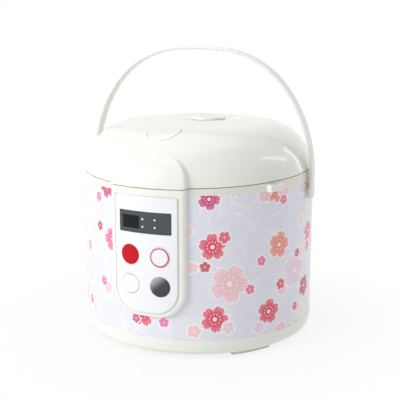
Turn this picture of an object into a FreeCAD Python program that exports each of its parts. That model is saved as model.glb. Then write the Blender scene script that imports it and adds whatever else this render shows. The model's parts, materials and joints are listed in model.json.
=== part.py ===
import FreeCAD, Part
import math
import os

# Rice cooker with a hinged lid and a carrying handle.
# Millimetres, +Z up, the front looks along -Y. The origin is on the table, under the body's axis.

Vector = FreeCAD.Vector
X_AXIS = Vector(1, 0, 0)
Y_AXIS = Vector(0, 1, 0)
Z_AXIS = Vector(0, 0, 1)
FAR = 1000.0

# Body
body_radius = 127.0
foot_height = 4.5
base_height = 16.5
sleeve_height = 150.5
sleeve_sheet = 0.8
seam_rise = 12.1
seam_tilt = 2.6
seam_gap = 0.8
moulded_wall = 3.0
collar_wall = 4.0
collar_depth = 5.5
base_corner = 8.0
base_lip = 0.5
spigot_height = 6.0

# Clearances
fit = 0.2
slide_gap = 0.35
running_gap = 0.06
screw_gap = 0.1
snug = 0.05
touch_gap = 0.1

# Lid dome
shoulder_rise = 3.8
shoulder_radius = 55.0
crown_radius = 900.0
lid_flange = 2.5
lid_flange_width = 20.0

# Hood over the panel, on the lid's front
hood_rise = 31.0
hood_corner = 26.0
hood_edge = 3.0

# Feet
foot_inset = 14.0
foot_width = 10.0
foot_span = 22.5
foot_angle = 52.0
foot_chamfer = 1.2

# Panel on the front
panel_half_width = 41.5
panel_lift = 23.8
panel_proud = 5.8
panel_corner = 29.0
panel_edge = 3.0
seam_corner = 1.0
rim_width = 7.1
rim_bottom = 5.0
rim_top = 8.5
plate_thickness = 1.9
plate_proud = 0.8
plate_top_corner = 2.0
groove = 1.0
skirt_half_width = 31.5
skirt_lift = 9.2
skirt_wall = 2.0
ledge_drop = 1.0

# Display and keys
window_half_width = 28.6
window_drop = 17.3
window_height = 21.9
window_thickness = 0.9
window_border = 2.6
window_corner = 0.7
window_proud = 0.15
readout_side = 3.8
readout_margin = 4.2
readout_width = 19.8
lens_radius = 1.0
lens_columns = (-1.5, 11.8)
lens_drops = (7.5, 15.2)
key_radius = 10.25
key_flange_width = 1.3
key_flange_thickness = 1.3
key_proud = 0.9
key_columns = {"left": -16.6, "right": 16.6}
key_row_shares = {"upper": 0.7024, "lower": 0.3116}
key_stem_radius = 2.5
key_travel = 0.8
switch_size = 6.2
switch_height = 3.6

# Boards
board_thickness = 1.6
board_setback = 6.0
power_board_half_width = 45.0
power_board_front = -46.0
power_board_margin = 7.3
board_post_height = 6.5
board_post_inset = 5.0
board_post_radius = 3.6
small_screw_radius = 1.25
small_head_radius = 2.6
small_head_height = 1.6
small_screw_length = 6.0
board_margin = 3.0
transformer_size = (17.0, 30.0, 9.0)
relay_size = (15.0, 20.0, 8.5)
relay_back = 12.0
capacitor_radius = 6.0
capacitor_height = 9.0
capacitor_forward = 20.0
terminal_block_size = (40.0, 10.0, 7.0)
terminal_block_gap = 3.5
fuse_radius = 2.0
fuse_half_length = 8.0
fuse_inset = 10.0
fuse_clip_half_width = 2.0
fuse_clip_length = 8.0
fuse_clip_thickness = 1.0
ribbon_width = 14.0
ribbon_thickness = 1.0
ribbon_bend = 9.0
lead_radius = 1.2
lead_bend = 8.0

# Pot and heater
pot_space = 27.0
pot_wall = 2.0
pot_corner = 20.0
pot_rim_width = 5.5
pot_rim_thickness = 2.0
pot_side_gap = 2.5
shell_sheet = 0.8
shell_floor = 30.0
shell_hole = 24.0
shell_flange = 14.0
heater_inset = 18.0
heater_thickness = 11.0
heater_post_height = 9.2
heater_post_radius = 5.0
heater_post_inset = 8.0
heater_post_count = 3
heater_post_angle = 30.0
element_inset = 24.0
element_radius = 4.2
terminal_offset = 12.0
terminal_radius = 3.0
terminal_drop = 6.0

# Thermostat in the middle of the heater
thermostat_radius = 19.5
thermostat_wall = 1.3
thermostat_skirt = 14.0
guide_wall = 1.5
guide_depth = 14.0
guide_flange = 5.0
guide_top_gap = 3.0
heater_hole_gap = 1.2
thermostat_coil_radius = 10.0
thermostat_wire = 1.4
thermostat_turns = 5

# Springs
wire_sides = 12

# Screws that hold the shell, the base and the lid
case_screw_count = 4
case_screw_angle = 45.0
shell_post_inset = 16.4
shell_post_angle = 23.0
shell_post_radius = 5.0
base_screw_radius = 1.75
base_head_radius = 3.5
base_head_height = 2.0
base_screw_length = 18.0
deck_screw_offset = 6.7
deck_screw_radius = 1.4
deck_head_radius = 2.8
deck_head_height = 1.8
deck_screw_length = 3.2
lid_screw_inset = 8.0
lid_screw_radius = 1.5
lid_head_radius = 2.8
lid_screw_length = 20.0
lid_column_radius = 3.8
lid_boss_height = 9.0

# Power inlet at the rear
inlet_level = 40.0
inlet_half_width = 13.5
inlet_half_height = 9.5
inlet_wall = 2.2
inlet_flange = 5.0
inlet_proud = 4.0
inlet_depth = 21.0
inlet_pin_offset = 6.0
inlet_pin_width = 4.0
inlet_pin_thickness = 1.6
inlet_pin_length = 13.0
inlet_tail = 2.5

# Lid hinge at the rear
hinge_setback = 2.5
hinge_rise = 1.6
hinge_pin_radius = 2.0
knuckle_radius = 6.0
knuckle_inner = 14.0
knuckle_outer = 26.0
knuckle_gap = 0.5
knuckle_room = 0.9
lug_room = 1.6
knuckle_drop = 14.0
spring_room = 6.0
spring_gap = 0.5
hinge_coil_wire = 1.2
hinge_coil_turns = 6

# Carrying handle
handle_gap = 2.3
handle_thickness = 3.2
handle_width = 12.0
handle_pad_radius = 8.0
handle_arm = 18.0
handle_side_radius = 150.0
handle_side_turn = 35.0
handle_corner_radius = 106.0
handle_top_radius = 300.0
handle_edge = 1.2
pivot_drop = 10.5
pivot_radius = 4.0
pivot_depth = 8.0
pivot_end_wall = 1.4
pivot_boss_half_width = 12.0
pivot_boss_drop = 10.0
washer_radius = 6.5

# Spatula holder on the collar
holder_angle = 60.0
holder_half_width = 9.0
holder_height = 7.2
holder_proud = 7.0
holder_slot_half_width = 5.5
holder_slot_depth = 2.6
holder_edge = 1.2

# Lid stack under the dome
gasket_gap = 0.3
gasket_height = 1.7
gasket_width = 6.5
inner_plate_margin = 0.5
inner_plate_sheet = 1.0
liner_floor = 2.0
liner_gap = 4.0

# Release button and latch
button_setback = 41.0
button_radius = 17.3
button_proud = 0.5
button_depth = 9.0
button_travel = 4.0
button_edge = 0.8
well_wall = 2.0
button_stem_radius = 4.0
button_tip_radius = 1.5
button_tip_length = 6.0
button_touch = 0.4
button_coil_radius = 9.0
button_wire = 1.2
button_turns = 4
latch_setback = 15.0
latch_rise = 6.4
latch_pin_radius = 1.5
latch_hub_radius = 4.0
latch_half_width = 6.0
latch_arm_thickness = 3.0
latch_arm_past = 3.0
hook_thickness = 3.2
hook_offset = 2.3
toe_length = 2.4
toe_height = 2.7
catch_gap = 0.4
catch_overlap = 1.7
catch_lip = 2.5
catch_post = 3.0
catch_half_width = 8.0
catch_base = 2.0
latch_slot_half_width = 9.0
latch_slot_margin = 1.2
latch_bracket_inner = 10.0
latch_bracket_outer = 13.0
latch_coil_wire = 0.8
latch_coil_turns = 3

# Steam vent on the lid
vent_back = 25.0
vent_dish_radius = 42.0
vent_dish_depth = 4.0
vent_hole_radius = 12.2
vent_boss_radius = 18.0
vent_boss_depth = 8.0
vent_pipe_wall = 2.0
vent_cap_radius = 20.0
vent_cap_rise = 3.6
vent_cap_edge = 1.6
vent_cap_crown = 1.6
vent_stub_wall = 2.4
vent_stub_length = 22.0
vent_slot_count = 3
vent_slot_length = 16.0
vent_slot_width = 2.4
vent_slot_pitch = 6.5
steam_hole_radius = 9.0

# Levels and radii that follow from the sizes above
sleeve_bottom = foot_height + base_height
sleeve_top = sleeve_bottom + sleeve_height
sleeve_inside = body_radius - sleeve_sheet
spigot_radius = sleeve_inside - fit
base_floor = foot_height + moulded_wall
seam_level = sleeve_top + seam_rise
seam_slope = math.tan(math.radians(seam_tilt))
deck_top = sleeve_top - collar_depth
deck_bottom = deck_top - moulded_wall
collar_inside = body_radius - collar_wall
pot_radius = body_radius - pot_space
opening_radius = pot_radius + pot_side_gap
shell_outside = opening_radius + shell_sheet
shell_flange_radius = shell_outside + shell_flange
shell_inside_floor = shell_floor + shell_sheet
shell_post_circle = shell_outside - shell_post_inset
deck_screw_circle = shell_outside + deck_screw_offset
heater_radius = pot_radius - heater_inset
heater_post_circle = heater_radius - heater_post_inset
element_circle = heater_radius - element_inset
terminal_y = math.sqrt(element_circle ** 2 - terminal_offset ** 2)
fuse_forward = heater_post_circle - fuse_inset
power_board_back = terminal_y + power_board_margin
terminal_block_back = terminal_y - lead_radius - terminal_block_gap
heater_bottom = shell_inside_floor + heater_post_height
heater_top = heater_bottom + heater_thickness
rim_bottom_level = deck_top + fit
rim_top_level = rim_bottom_level + pot_rim_thickness
gasket_bottom = rim_top_level + gasket_gap
inner_plate_bottom = gasket_bottom + gasket_height
liner_bottom = inner_plate_bottom + inner_plate_sheet
liner_top = liner_bottom + liner_floor
liner_radius = collar_inside - liner_gap
lid_screw_circle = liner_radius - lid_screw_inset
inner_plate_radius = pot_radius + pot_rim_width + inner_plate_margin
flange_inside = body_radius - moulded_wall - lid_flange_width
foot_radius = body_radius - foot_inset
panel_radius = body_radius + panel_proud
panel_bottom = sleeve_bottom + panel_lift
plate_face = panel_radius + plate_proud
plate_back = plate_face - plate_thickness
skirt_bottom = panel_bottom + skirt_lift
skirt_top = deck_bottom - ledge_drop
window_top = sleeve_top - window_drop
window_bottom = window_top - window_height
readout_left = readout_side - window_half_width
readout_right = readout_left + readout_width
lens_rows = [window_top - drop for drop in lens_drops]
key_field = window_bottom - skirt_bottom
key_rows = {row: skirt_bottom + share * key_field for row, share in key_row_shares.items()}
board_front = body_radius - board_setback
power_board_level = base_floor + board_post_height
power_board_top = power_board_level + board_thickness
pivot_level = sleeve_top - pivot_drop
handle_side_start = pivot_level + handle_arm
hinge_y = body_radius + hinge_setback
hinge_z = seam_level + body_radius * seam_slope + hinge_rise
well_depth = button_depth + button_travel + (button_turns + 1) * button_wire + well_wall
latch_y = latch_setback - body_radius
button_forward = body_radius - button_setback
button_y = -button_forward

# Dome: a shoulder arc that starts upright at the body's wall, and a flat crown arc tangent to it
shoulder_level = sleeve_top + shoulder_rise
shoulder_centre = body_radius - shoulder_radius
crown_turn = math.asin(shoulder_centre / (crown_radius - shoulder_radius))
crown_level = shoulder_level - (crown_radius - shoulder_radius) * math.cos(crown_turn)


def dome_level(radius):
    """Height of the lid's outer skin at a distance from the axis."""
    if radius < crown_radius * math.sin(crown_turn):
        return crown_level + math.sqrt(crown_radius ** 2 - radius ** 2)
    return shoulder_level + math.sqrt(shoulder_radius ** 2 - (radius - shoulder_centre) ** 2)


def seam_at(y):
    """Height of the tilted seam between the collar and the lid."""
    return seam_level + y * seam_slope


def on_circle(centre, radius, degrees):
    """Point of a circle in the section plane, counted from the +X side towards +Z."""
    angle = math.radians(degrees)
    return (centre[0] + radius * math.cos(angle), centre[1] + radius * math.sin(angle))


def section(start, *steps):
    """Face in the XZ plane. A step is an end point, or a pair of a point on an arc and its end."""
    edges = []
    here = Vector(start[0], 0, start[1])
    for step in steps + (start,):
        if isinstance(step[0], tuple):
            middle, end = [Vector(point[0], 0, point[1]) for point in step]
            edges.append(Part.Arc(here, middle, end).toShape())
        else:
            end = Vector(step[0], 0, step[1])
            if not here.isEqual(end, 1e-6):
                edges.append(Part.LineSegment(here, end).toShape())
        here = end
    return Part.Face(Part.Wire(edges))


def turned(*outline):
    """Solid of revolution about the body's axis."""
    return section(*outline).revolve(Vector(0, 0, 0), Z_AXIS, 360)


def box(x_span, y_span, z_span):
    """Block between two limits on each axis."""
    size = [span[1] - span[0] for span in (x_span, y_span, z_span)]
    return Part.makeBox(size[0], size[1], size[2], Vector(x_span[0], y_span[0], z_span[0]))


def upright(radius, bottom, top, x=0.0, y=0.0):
    """Cylinder along Z."""
    return Part.makeCylinder(radius, top - bottom, Vector(x, y, bottom), Z_AXIS)


def crosswise(radius, left, right, y, z):
    """Cylinder along X."""
    return Part.makeCylinder(radius, right - left, Vector(left, y, z), X_AXIS)


def lengthwise(radius, front, back, x, z):
    """Cylinder along Y."""
    return Part.makeCylinder(radius, back - front, Vector(x, front, z), Y_AXIS)


def tube(outer, inner, bottom, top, x=0.0, y=0.0):
    """Upright pipe."""
    return upright(outer, bottom, top, x, y).cut(upright(inner, bottom, top, x, y))


def curved_layer(inner, outer):
    """Tall layer between two radii about the body's axis."""
    return tube(outer, inner, -FAR, FAR)


def front_prism(half_width, bottom, top, bottom_corner, top_corner, x=0.0):
    """Block with a rounded outline seen from the front, standing ahead of the body's axis."""
    left = x - half_width
    right = x + half_width
    low_left = (left + bottom_corner, bottom + bottom_corner)
    low_right = (right - bottom_corner, bottom + bottom_corner)
    high_right = (right - top_corner, top - top_corner)
    high_left = (left + top_corner, top - top_corner)
    face = section(
        (low_left[0], bottom), (low_right[0], bottom),
        (on_circle(low_right, bottom_corner, -45), (right, low_right[1])),
        (right, high_right[1]), (on_circle(high_right, top_corner, 45), (high_right[0], top)),
        (high_left[0], top), (on_circle(high_left, top_corner, 135), (left, high_left[1])),
        (left, low_left[1]), (on_circle(low_left, bottom_corner, 225), (low_left[0], bottom)))
    return face.extrude(Vector(0, -FAR, 0))


def above_seam(offset):
    """Space above the tilted seam plane, moved up by an offset."""
    space = box((-FAR, FAR), (-FAR, FAR), (0, FAR))
    space.rotate(Vector(0, 0, 0), X_AXIS, seam_tilt)
    space.translate(Vector(0, 0, seam_level + offset))
    return space


def dome_envelope(grow):
    """Everything inside the outer skin of the body and the lid, grown by an offset."""
    shoulder = (shoulder_centre, shoulder_level)
    crown = (0.0, crown_level)
    crown_angle = 90 - math.degrees(crown_turn)
    return turned(
        (0, foot_height), (body_radius + grow, foot_height), (body_radius + grow, shoulder_level),
        (on_circle(shoulder, shoulder_radius + grow, crown_angle / 2),
         on_circle(shoulder, shoulder_radius + grow, crown_angle)),
        (on_circle(crown, crown_radius + grow, (crown_angle + 90) / 2),
         (0, crown_level + crown_radius + grow)))


def coil(radius, wire, turns, bottom, top):
    """Helical spring along Z, with its ends flush between two levels and a many-sided wire."""
    height = top - bottom - wire
    path = Part.Wire(Part.makeHelix(height / turns, height, radius).Edges)
    rim = [on_circle((radius, 0), wire / 2, side * 360 / wire_sides) for side in range(wire_sides)]
    ring = Part.makePolygon([Vector(x, 0, z) for x, z in rim + rim[:1]])
    spring = Part.Solid(path.makePipeShell([ring], True, True).Shells[0])
    spring.translate(Vector(0, 0, bottom + wire / 2))
    return spring


def around(count, start, circle):
    """Points spaced evenly on a circle about the axis."""
    angles = [math.radians(start + index * 360 / count) for index in range(count)]
    return [(circle * math.cos(angle), circle * math.sin(angle)) for angle in angles]


def corners(x, y_front, y_back):
    """Four corner points of a rectangle that is centred on X."""
    return [(side, y) for side in (-x, x) for y in (y_front, y_back)]


def rounded(shape, radius, chosen):
    """Shape with the edges that a test picks rounded off."""
    return shape.makeFillet(radius, [edge for edge in shape.Edges if chosen(edge)])


def joined(first, *others):
    """One solid from several that overlap."""
    return first.fuse(list(others)).removeSplitter()


def base_tray():
    outer = body_radius + base_lip
    inner = spigot_radius - moulded_wall
    inner_corner = base_corner - moulded_wall
    rim = sleeve_bottom + spigot_height
    low = (outer - base_corner, foot_height + base_corner)
    inside = (inner - inner_corner, base_floor + inner_corner)
    tray = turned(
        (0, foot_height), (low[0], foot_height), (on_circle(low, base_corner, -45), (outer, low[1])),
        (outer, sleeve_bottom), (spigot_radius, sleeve_bottom), (spigot_radius, rim), (inner, rim),
        (inner, inside[1]), (on_circle(inside, inner_corner, -45), (inside[0], base_floor)),
        (0, base_floor))
    posts = [upright(board_post_radius, base_floor, power_board_level, x, y) for x, y in board_posts()]
    tray = tray.fuse(posts)
    holes = [upright(small_screw_radius + screw_gap, power_board_level - small_screw_length, FAR, x, y)
             for x, y in board_posts()]
    for x, y in shell_posts():
        holes.append(upright(base_screw_radius + screw_gap, foot_height, base_floor, x, y))
        holes.append(upright(base_head_radius + fit, foot_height, foot_height + base_head_height, x, y))
    return tray.cut(holes)


def feet():
    inner = foot_radius - foot_width / 2
    outer = foot_radius + foot_width / 2
    blank = section((inner, 0), (outer, 0), (outer, foot_height), (inner, foot_height))
    foot = blank.revolve(Vector(0, 0, 0), Z_AXIS, foot_span)
    bottom_edges = [edge for edge in foot.Edges if edge.BoundBox.ZMax < foot_height / 2]
    foot = foot.makeChamfer(foot_chamfer, bottom_edges)
    group = []
    for middle in (foot_angle, -foot_angle, 180 - foot_angle, foot_angle - 180):
        copy = foot.copy()
        copy.rotate(Vector(0, 0, 0), Z_AXIS, middle - 90 - foot_span / 2)
        group.append(copy)
    return group


def sleeve():
    sheet = tube(body_radius, sleeve_inside, sleeve_bottom, sleeve_top)
    half_width = skirt_half_width + fit
    panel_opening = box((-half_width, half_width), (-FAR, 0), (skirt_bottom - fit, skirt_top + fit))
    pivots = crosswise(pivot_radius + fit, -FAR, FAR, 0, pivot_level)
    return sheet.cut([panel_opening, pivots, inlet_block(fit)])


def collar():
    skin = body_radius + seam_gap
    tall = seam_level + 2 * seam_rise
    ring = turned(
        (opening_radius, deck_bottom), (spigot_radius, deck_bottom), (spigot_radius, sleeve_top),
        (skin, sleeve_top), (skin, tall), (collar_inside, tall), (collar_inside, deck_top),
        (opening_radius, deck_top))
    ring = ring.common(dome_envelope(0)).cut(above_seam(-seam_gap / 2))
    boss_bottom = pivot_level - pivot_boss_drop
    boss = box((-body_radius, body_radius), (-pivot_boss_half_width, pivot_boss_half_width),
               (boss_bottom, deck_top))
    hollow = body_radius - pivot_depth
    boss = boss.cut(box((-hollow, hollow), (-FAR, FAR), (-FAR, FAR))).common(upright(spigot_radius, 0, FAR))
    drop = hinge_z - knuckle_drop
    arm = section(
        (hinge_y - knuckle_radius, hinge_z), (collar_inside + fit, drop), (body_radius, drop),
        (hinge_y + knuckle_radius, hinge_z))
    arm.rotate(Vector(0, 0, 0), Z_AXIS, 90)
    arms = []
    for left in (-knuckle_outer, knuckle_inner):
        right = left + knuckle_outer - knuckle_inner
        cheek = arm.copy()
        cheek.translate(Vector(left, 0, 0))
        arms.append(cheek.extrude(Vector(right - left, 0, 0)))
        arms.append(crosswise(knuckle_radius, left, right, hinge_y, hinge_z))
    notch = crosswise(knuckle_radius + lug_room, -knuckle_inner, knuckle_inner, hinge_y, hinge_z)
    bores = [crosswise(hinge_pin_radius + running_gap, -FAR, FAR, hinge_y, hinge_z),
             crosswise(pivot_radius + running_gap, -FAR, FAR, 0, pivot_level)]
    for x, y in deck_screws():
        tip = deck_bottom + deck_screw_length
        bores.append(upright(deck_screw_radius + screw_gap, deck_bottom, tip, x, y))
    return joined(ring.cut(notch), boss, *arms).cut(bores)


def inner_shell():
    low = deck_bottom - shell_sheet
    shell = turned(
        (shell_hole, shell_floor), (shell_outside, shell_floor), (shell_outside, low),
        (shell_flange_radius, low), (shell_flange_radius, deck_bottom), (opening_radius, deck_bottom),
        (opening_radius, shell_inside_floor), (shell_hole, shell_inside_floor))
    holes = [upright(deck_screw_radius + screw_gap, low, deck_bottom, x, y) for x, y in deck_screws()]
    holes += [upright(terminal_radius + slide_gap, shell_floor, heater_bottom, x, y)
              for x, y in terminals()]
    return shell.cut(holes)


def inner_pot():
    inner = pot_radius - pot_wall
    floor = heater_top + pot_wall
    rim = pot_radius + pot_rim_width
    centre = (pot_radius - pot_corner, heater_top + pot_corner)
    return turned(
        (0, heater_top), (centre[0], heater_top),
        (on_circle(centre, pot_corner, -45), (pot_radius, centre[1])), (pot_radius, rim_bottom_level),
        (rim, rim_bottom_level), (rim, rim_top_level), (inner, rim_top_level), (inner, centre[1]),
        (on_circle(centre, pot_corner - pot_wall, -45), (centre[0], floor)), (0, floor))


def heating_plate():
    hole = thermostat_radius + slide_gap + guide_wall + heater_hole_gap
    plate = tube(heater_radius, hole, heater_bottom, heater_top)
    ring = Part.makeTorus(element_circle, element_radius + fit / 2, Vector(0, 0, heater_bottom))
    return plate.cut(ring)


def heater_element():
    ring = Part.makeTorus(element_circle, element_radius, Vector(0, 0, heater_bottom))
    pins = [upright(terminal_radius, shell_floor - terminal_drop, heater_bottom, x, y)
            for x, y in terminals()]
    return joined(ring, *pins)


def heater_posts():
    return [upright(heater_post_radius, shell_inside_floor, heater_bottom, x, y)
            for x, y in around(heater_post_count, heater_post_angle, heater_post_circle)]


def thermostat_guide():
    inner = thermostat_radius + slide_gap
    outer = inner + guide_wall
    floor = heater_bottom - guide_depth
    cup = upright(outer, floor, heater_top - guide_top_gap).cut(upright(inner, floor + guide_wall, FAR))
    flange = tube(outer + guide_flange, inner, heater_bottom - guide_wall, heater_bottom)
    return joined(cup, flange)


def thermostat_cap():
    top = heater_top - touch_gap
    inner = thermostat_radius - thermostat_wall
    return upright(thermostat_radius, top - thermostat_skirt, top).cut(
        upright(inner, top - thermostat_skirt, top - thermostat_wall))


def thermostat_spring():
    bottom = heater_bottom - guide_depth + guide_wall + touch_gap
    top = heater_top - touch_gap - thermostat_wall - touch_gap
    return coil(thermostat_coil_radius, thermostat_wire, thermostat_turns, bottom, top)


def terminals():
    return [(-terminal_offset, terminal_y), (terminal_offset, terminal_y)]


def shell_posts():
    angle = math.radians(shell_post_angle)
    y = shell_post_circle * math.sin(angle)
    return corners(shell_post_circle * math.cos(angle), -y, y)


def board_posts():
    inset = board_post_inset
    return corners(power_board_half_width - inset, power_board_front + inset, power_board_back - inset)


def deck_screws():
    return around(case_screw_count, case_screw_angle, deck_screw_circle)


def lid_screws_at():
    return around(case_screw_count, case_screw_angle, lid_screw_circle)


def support_posts():
    hole_top = foot_height + base_head_height + base_screw_length
    posts = []
    for x, y in shell_posts():
        post = upright(shell_post_radius, base_floor, shell_floor, x, y)
        posts.append(post.cut(upright(base_screw_radius + screw_gap, base_floor, hole_top, x, y)))
    return posts


def base_screws():
    seat = foot_height + base_head_height
    return [joined(upright(base_head_radius, foot_height, seat, x, y),
                   upright(base_screw_radius, foot_height, seat + base_screw_length, x, y))
            for x, y in shell_posts()]


def shell_screws():
    seat = deck_bottom - shell_sheet
    tip = deck_bottom + deck_screw_length - screw_gap
    return [joined(upright(deck_head_radius, seat - deck_head_height, seat, x, y),
                   upright(deck_screw_radius, seat - deck_head_height, tip, x, y))
            for x, y in deck_screws()]


def power_board():
    board = box((-power_board_half_width, power_board_half_width), (power_board_front, power_board_back),
                (power_board_level, power_board_top))
    return board.cut([upright(small_screw_radius + screw_gap, 0, FAR, x, y) for x, y in board_posts()])


def on_board(size, x, y):
    """Block that stands on the power board, centred on a point."""
    return box((x - size[0] / 2, x + size[0] / 2), (y - size[1] / 2, y + size[1] / 2),
               (power_board_top, power_board_top + size[2]))


def board_parts():
    edge = power_board_half_width - board_margin
    transformer = on_board(transformer_size, transformer_size[0] / 2 - edge, 0)
    relay = on_board(relay_size, edge - relay_size[0] / 2, relay_back)
    capacitor = upright(capacitor_radius, power_board_top, power_board_top + capacitor_height,
                        edge - capacitor_radius, -capacitor_forward)
    terminal_block = on_board(terminal_block_size, 0, terminal_block_back - terminal_block_size[1] / 2)
    return [transformer, relay, capacitor, terminal_block]


def board_screws():
    screws = []
    tip = power_board_top - small_screw_length
    head = power_board_top + small_head_height
    for x, y in board_posts():
        screws.append(joined(upright(small_head_radius, power_board_top, head, x, y),
                             upright(small_screw_radius, tip, head, x, y)))
    back = -board_front + board_thickness
    for x, z in control_bosses():
        screws.append(joined(
            lengthwise(small_head_radius, back, back + small_head_height, x, z),
            lengthwise(small_screw_radius, back - small_screw_length, back + small_head_height, x, z)))
    return screws


def power_inlet():
    block = inlet_block(0)
    flange = inlet_flange_plate()
    cavity_back = body_radius + inlet_proud - inlet_pin_length - inlet_wall
    half_width = inlet_half_width - inlet_wall
    half_height = inlet_half_height - inlet_wall
    cavity = box((-half_width, half_width), (cavity_back, FAR),
                 (inlet_level - half_height, inlet_level + half_height))
    shape = joined(block, flange).cut(cavity)
    return shape.cut([blade(fit / 2, side) for side in (-1, 1)])


def inlet_block(grow):
    half_width = inlet_half_width + grow
    half_height = inlet_half_height + grow
    outside = body_radius + inlet_proud
    return box((-half_width, half_width), (outside - inlet_depth, outside),
               (inlet_level - half_height, inlet_level + half_height))


def inlet_flange_plate():
    half_width = inlet_half_width + inlet_flange
    half_height = inlet_half_height + inlet_flange
    outside = body_radius + inlet_proud
    plate = box((-half_width, half_width), (0, outside),
                (inlet_level - half_height, inlet_level + half_height))
    plate = plate.cut(upright(body_radius + fit / 2, 0, FAR))
    return rounded(plate, inlet_flange, lambda edge: upright_corner(edge, half_width))


def upright_corner(edge, half_width):
    """True for the four edges along Y at the corners of the inlet's flange."""
    span = edge.BoundBox
    along = span.YLength > span.XLength and span.YLength > span.ZLength
    return along and abs(abs(span.Center.x) - half_width) < fit and span.ZLength < fit


def blade(grow, side):
    """Inlet pin, through the back wall of the inlet's cavity."""
    outside = body_radius + inlet_proud
    back = outside - inlet_depth - inlet_tail
    front = outside - inlet_wall
    x = side * inlet_pin_offset
    half_thickness = inlet_pin_thickness / 2 + grow
    half_width = inlet_pin_width / 2 + grow
    return box((x - half_thickness, x + half_thickness), (back, front),
               (inlet_level - half_width, inlet_level + half_width))


def inlet_pins():
    return [blade(0, -1), blade(0, 1)]


def bent_strip(half_thickness, top_level, middle_y, low_level, end_y, bend):
    """Side outline of a lead that drops, bends and runs level towards the middle of the body."""
    way = math.copysign(1, end_y - middle_y)
    centre = (middle_y + way * bend, low_level + bend)
    outer = bend + half_thickness
    inner = bend - half_thickness
    turn = 225 if way > 0 else 315
    return section(
        (centre[0] - way * outer, top_level), (centre[0] - way * outer, centre[1]),
        (on_circle(centre, outer, turn), (centre[0], centre[1] - outer)), (end_y, centre[1] - outer),
        (end_y, centre[1] - inner), (centre[0], centre[1] - inner),
        (on_circle(centre, inner, turn), (centre[0] - way * inner, centre[1])),
        (centre[0] - way * inner, top_level))


def side_extrusion(face, left, right):
    """Outline drawn in Y and Z, extruded between two limits on X."""
    face.rotate(Vector(0, 0, 0), Z_AXIS, 90)
    face.translate(Vector(left, 0, 0))
    return face.extrude(Vector(right - left, 0, 0))


def inlet_leads():
    tail_y = body_radius + inlet_proud - inlet_depth - inlet_tail / 2
    top = inlet_level - inlet_pin_width / 2
    low = power_board_top + lead_radius
    leads = []
    for side in (-1, 1):
        x = side * inlet_pin_offset
        face = bent_strip(lead_radius, top, tail_y, low, terminal_block_back, lead_bend)
        leads.append(side_extrusion(face, x - lead_radius, x + lead_radius))
    return leads


def heater_leads():
    return [upright(lead_radius, power_board_top, shell_floor - terminal_drop, x, y)
            for x, y in terminals()]


def control_ribbon():
    middle = -board_front + board_thickness + ribbon_thickness / 2
    low = power_board_top + ribbon_thickness / 2
    top = skirt_bottom + ribbon_width
    end = power_board_front + ribbon_width
    face = bent_strip(ribbon_thickness / 2, top, middle, low, end, ribbon_bend)
    return side_extrusion(face, -ribbon_width / 2, ribbon_width / 2)


def thermal_fuse():
    level = shell_floor - fuse_radius - fit / 2
    body = crosswise(fuse_radius, -fuse_half_length, fuse_half_length, -fuse_forward, level)
    clip = box((-fuse_clip_half_width, fuse_clip_half_width),
               (-fuse_forward - fuse_clip_length, -fuse_forward),
               (shell_floor - fuse_clip_thickness, shell_floor))
    return joined(body, clip)


def panel_bezel():
    shell = curved_layer(body_radius + fit / 2, panel_radius)
    blank = front_prism(panel_half_width, panel_bottom, seam_level + seam_rise, panel_corner, seam_corner)
    block = shell.common(blank)
    block = rounded(block.cut(above_seam(-seam_gap / 2)), panel_edge, on_panel_face)
    pocket = pocket_prism().common(curved_layer(plate_back - snug, FAR))
    opening = skirt_half_width - skirt_wall
    through = box((-opening, opening), (-FAR, 0), (skirt_bottom + skirt_wall, skirt_top - skirt_wall))
    skirt = box((-skirt_half_width, skirt_half_width), (-panel_radius, -board_front),
                (skirt_bottom, skirt_top))
    skirt = skirt.common(upright(plate_back - snug, 0, FAR))
    frame = joined(block.cut(pocket), skirt).cut(through)
    bosses = []
    holes = []
    depth = small_screw_length
    for x, z in control_bosses():
        size = small_head_radius
        boss = box((x - size, x + size), (-board_front - depth, -board_front), (z - size, z + size))
        bosses.append(boss.common(upright(plate_back - fit, 0, FAR)))
        holes.append(lengthwise(small_screw_radius + screw_gap, -board_front - depth, -board_front, x, z))
    return joined(frame, *bosses).cut(holes)


def on_panel_face(edge):
    """True for the edges around the panel's outer face, apart from its top at the seam."""
    span = edge.BoundBox
    middle = edge.valueAt((edge.FirstParameter + edge.LastParameter) / 2)
    outside = math.hypot(middle.x, middle.y) > panel_radius - fit
    return outside and span.ZMin < seam_at(-panel_radius) - seam_rise


def control_bosses():
    x = skirt_half_width - skirt_wall - small_head_radius + fit
    low = skirt_bottom + skirt_wall + small_head_radius - fit
    high = skirt_top - skirt_wall - small_head_radius + fit
    return [(side * x, z) for side in (-1, 1) for z in (low, high)]


def plate_half_width():
    return panel_half_width - rim_width


def plate_bottom():
    return panel_bottom + rim_bottom


def plate_top():
    return seam_at(-panel_radius) - rim_top


def plate_corner():
    return panel_corner - rim_bottom


def plate_prism():
    """Block with the plate's outline."""
    return front_prism(plate_half_width(), plate_bottom(), plate_top(), plate_corner(), plate_top_corner)


def pocket_prism():
    """Block with the outline of the plate's pocket: a groove at the sides and the bottom, a fit at the top."""
    return front_prism(plate_half_width() + groove, plate_bottom() - groove, plate_top() + fit,
                       plate_corner() + groove, plate_top_corner + fit)


def window_prism(grow):
    """Block with the window's outline, grown by an offset."""
    return front_prism(window_half_width + grow, window_bottom - grow, window_top + grow,
                       window_corner, window_corner)


def panel_plate():
    plate = curved_layer(plate_back, plate_face).common(plate_prism())
    seat = window_prism(fit).common(curved_layer(plate_face - window_thickness, FAR))
    holes = [seat, window_prism(-window_border)]
    for x in key_columns.values():
        holes += [lengthwise(key_radius + slide_gap, -FAR, 0, x, z) for z in key_rows.values()]
    return plate.cut(holes)


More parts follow.
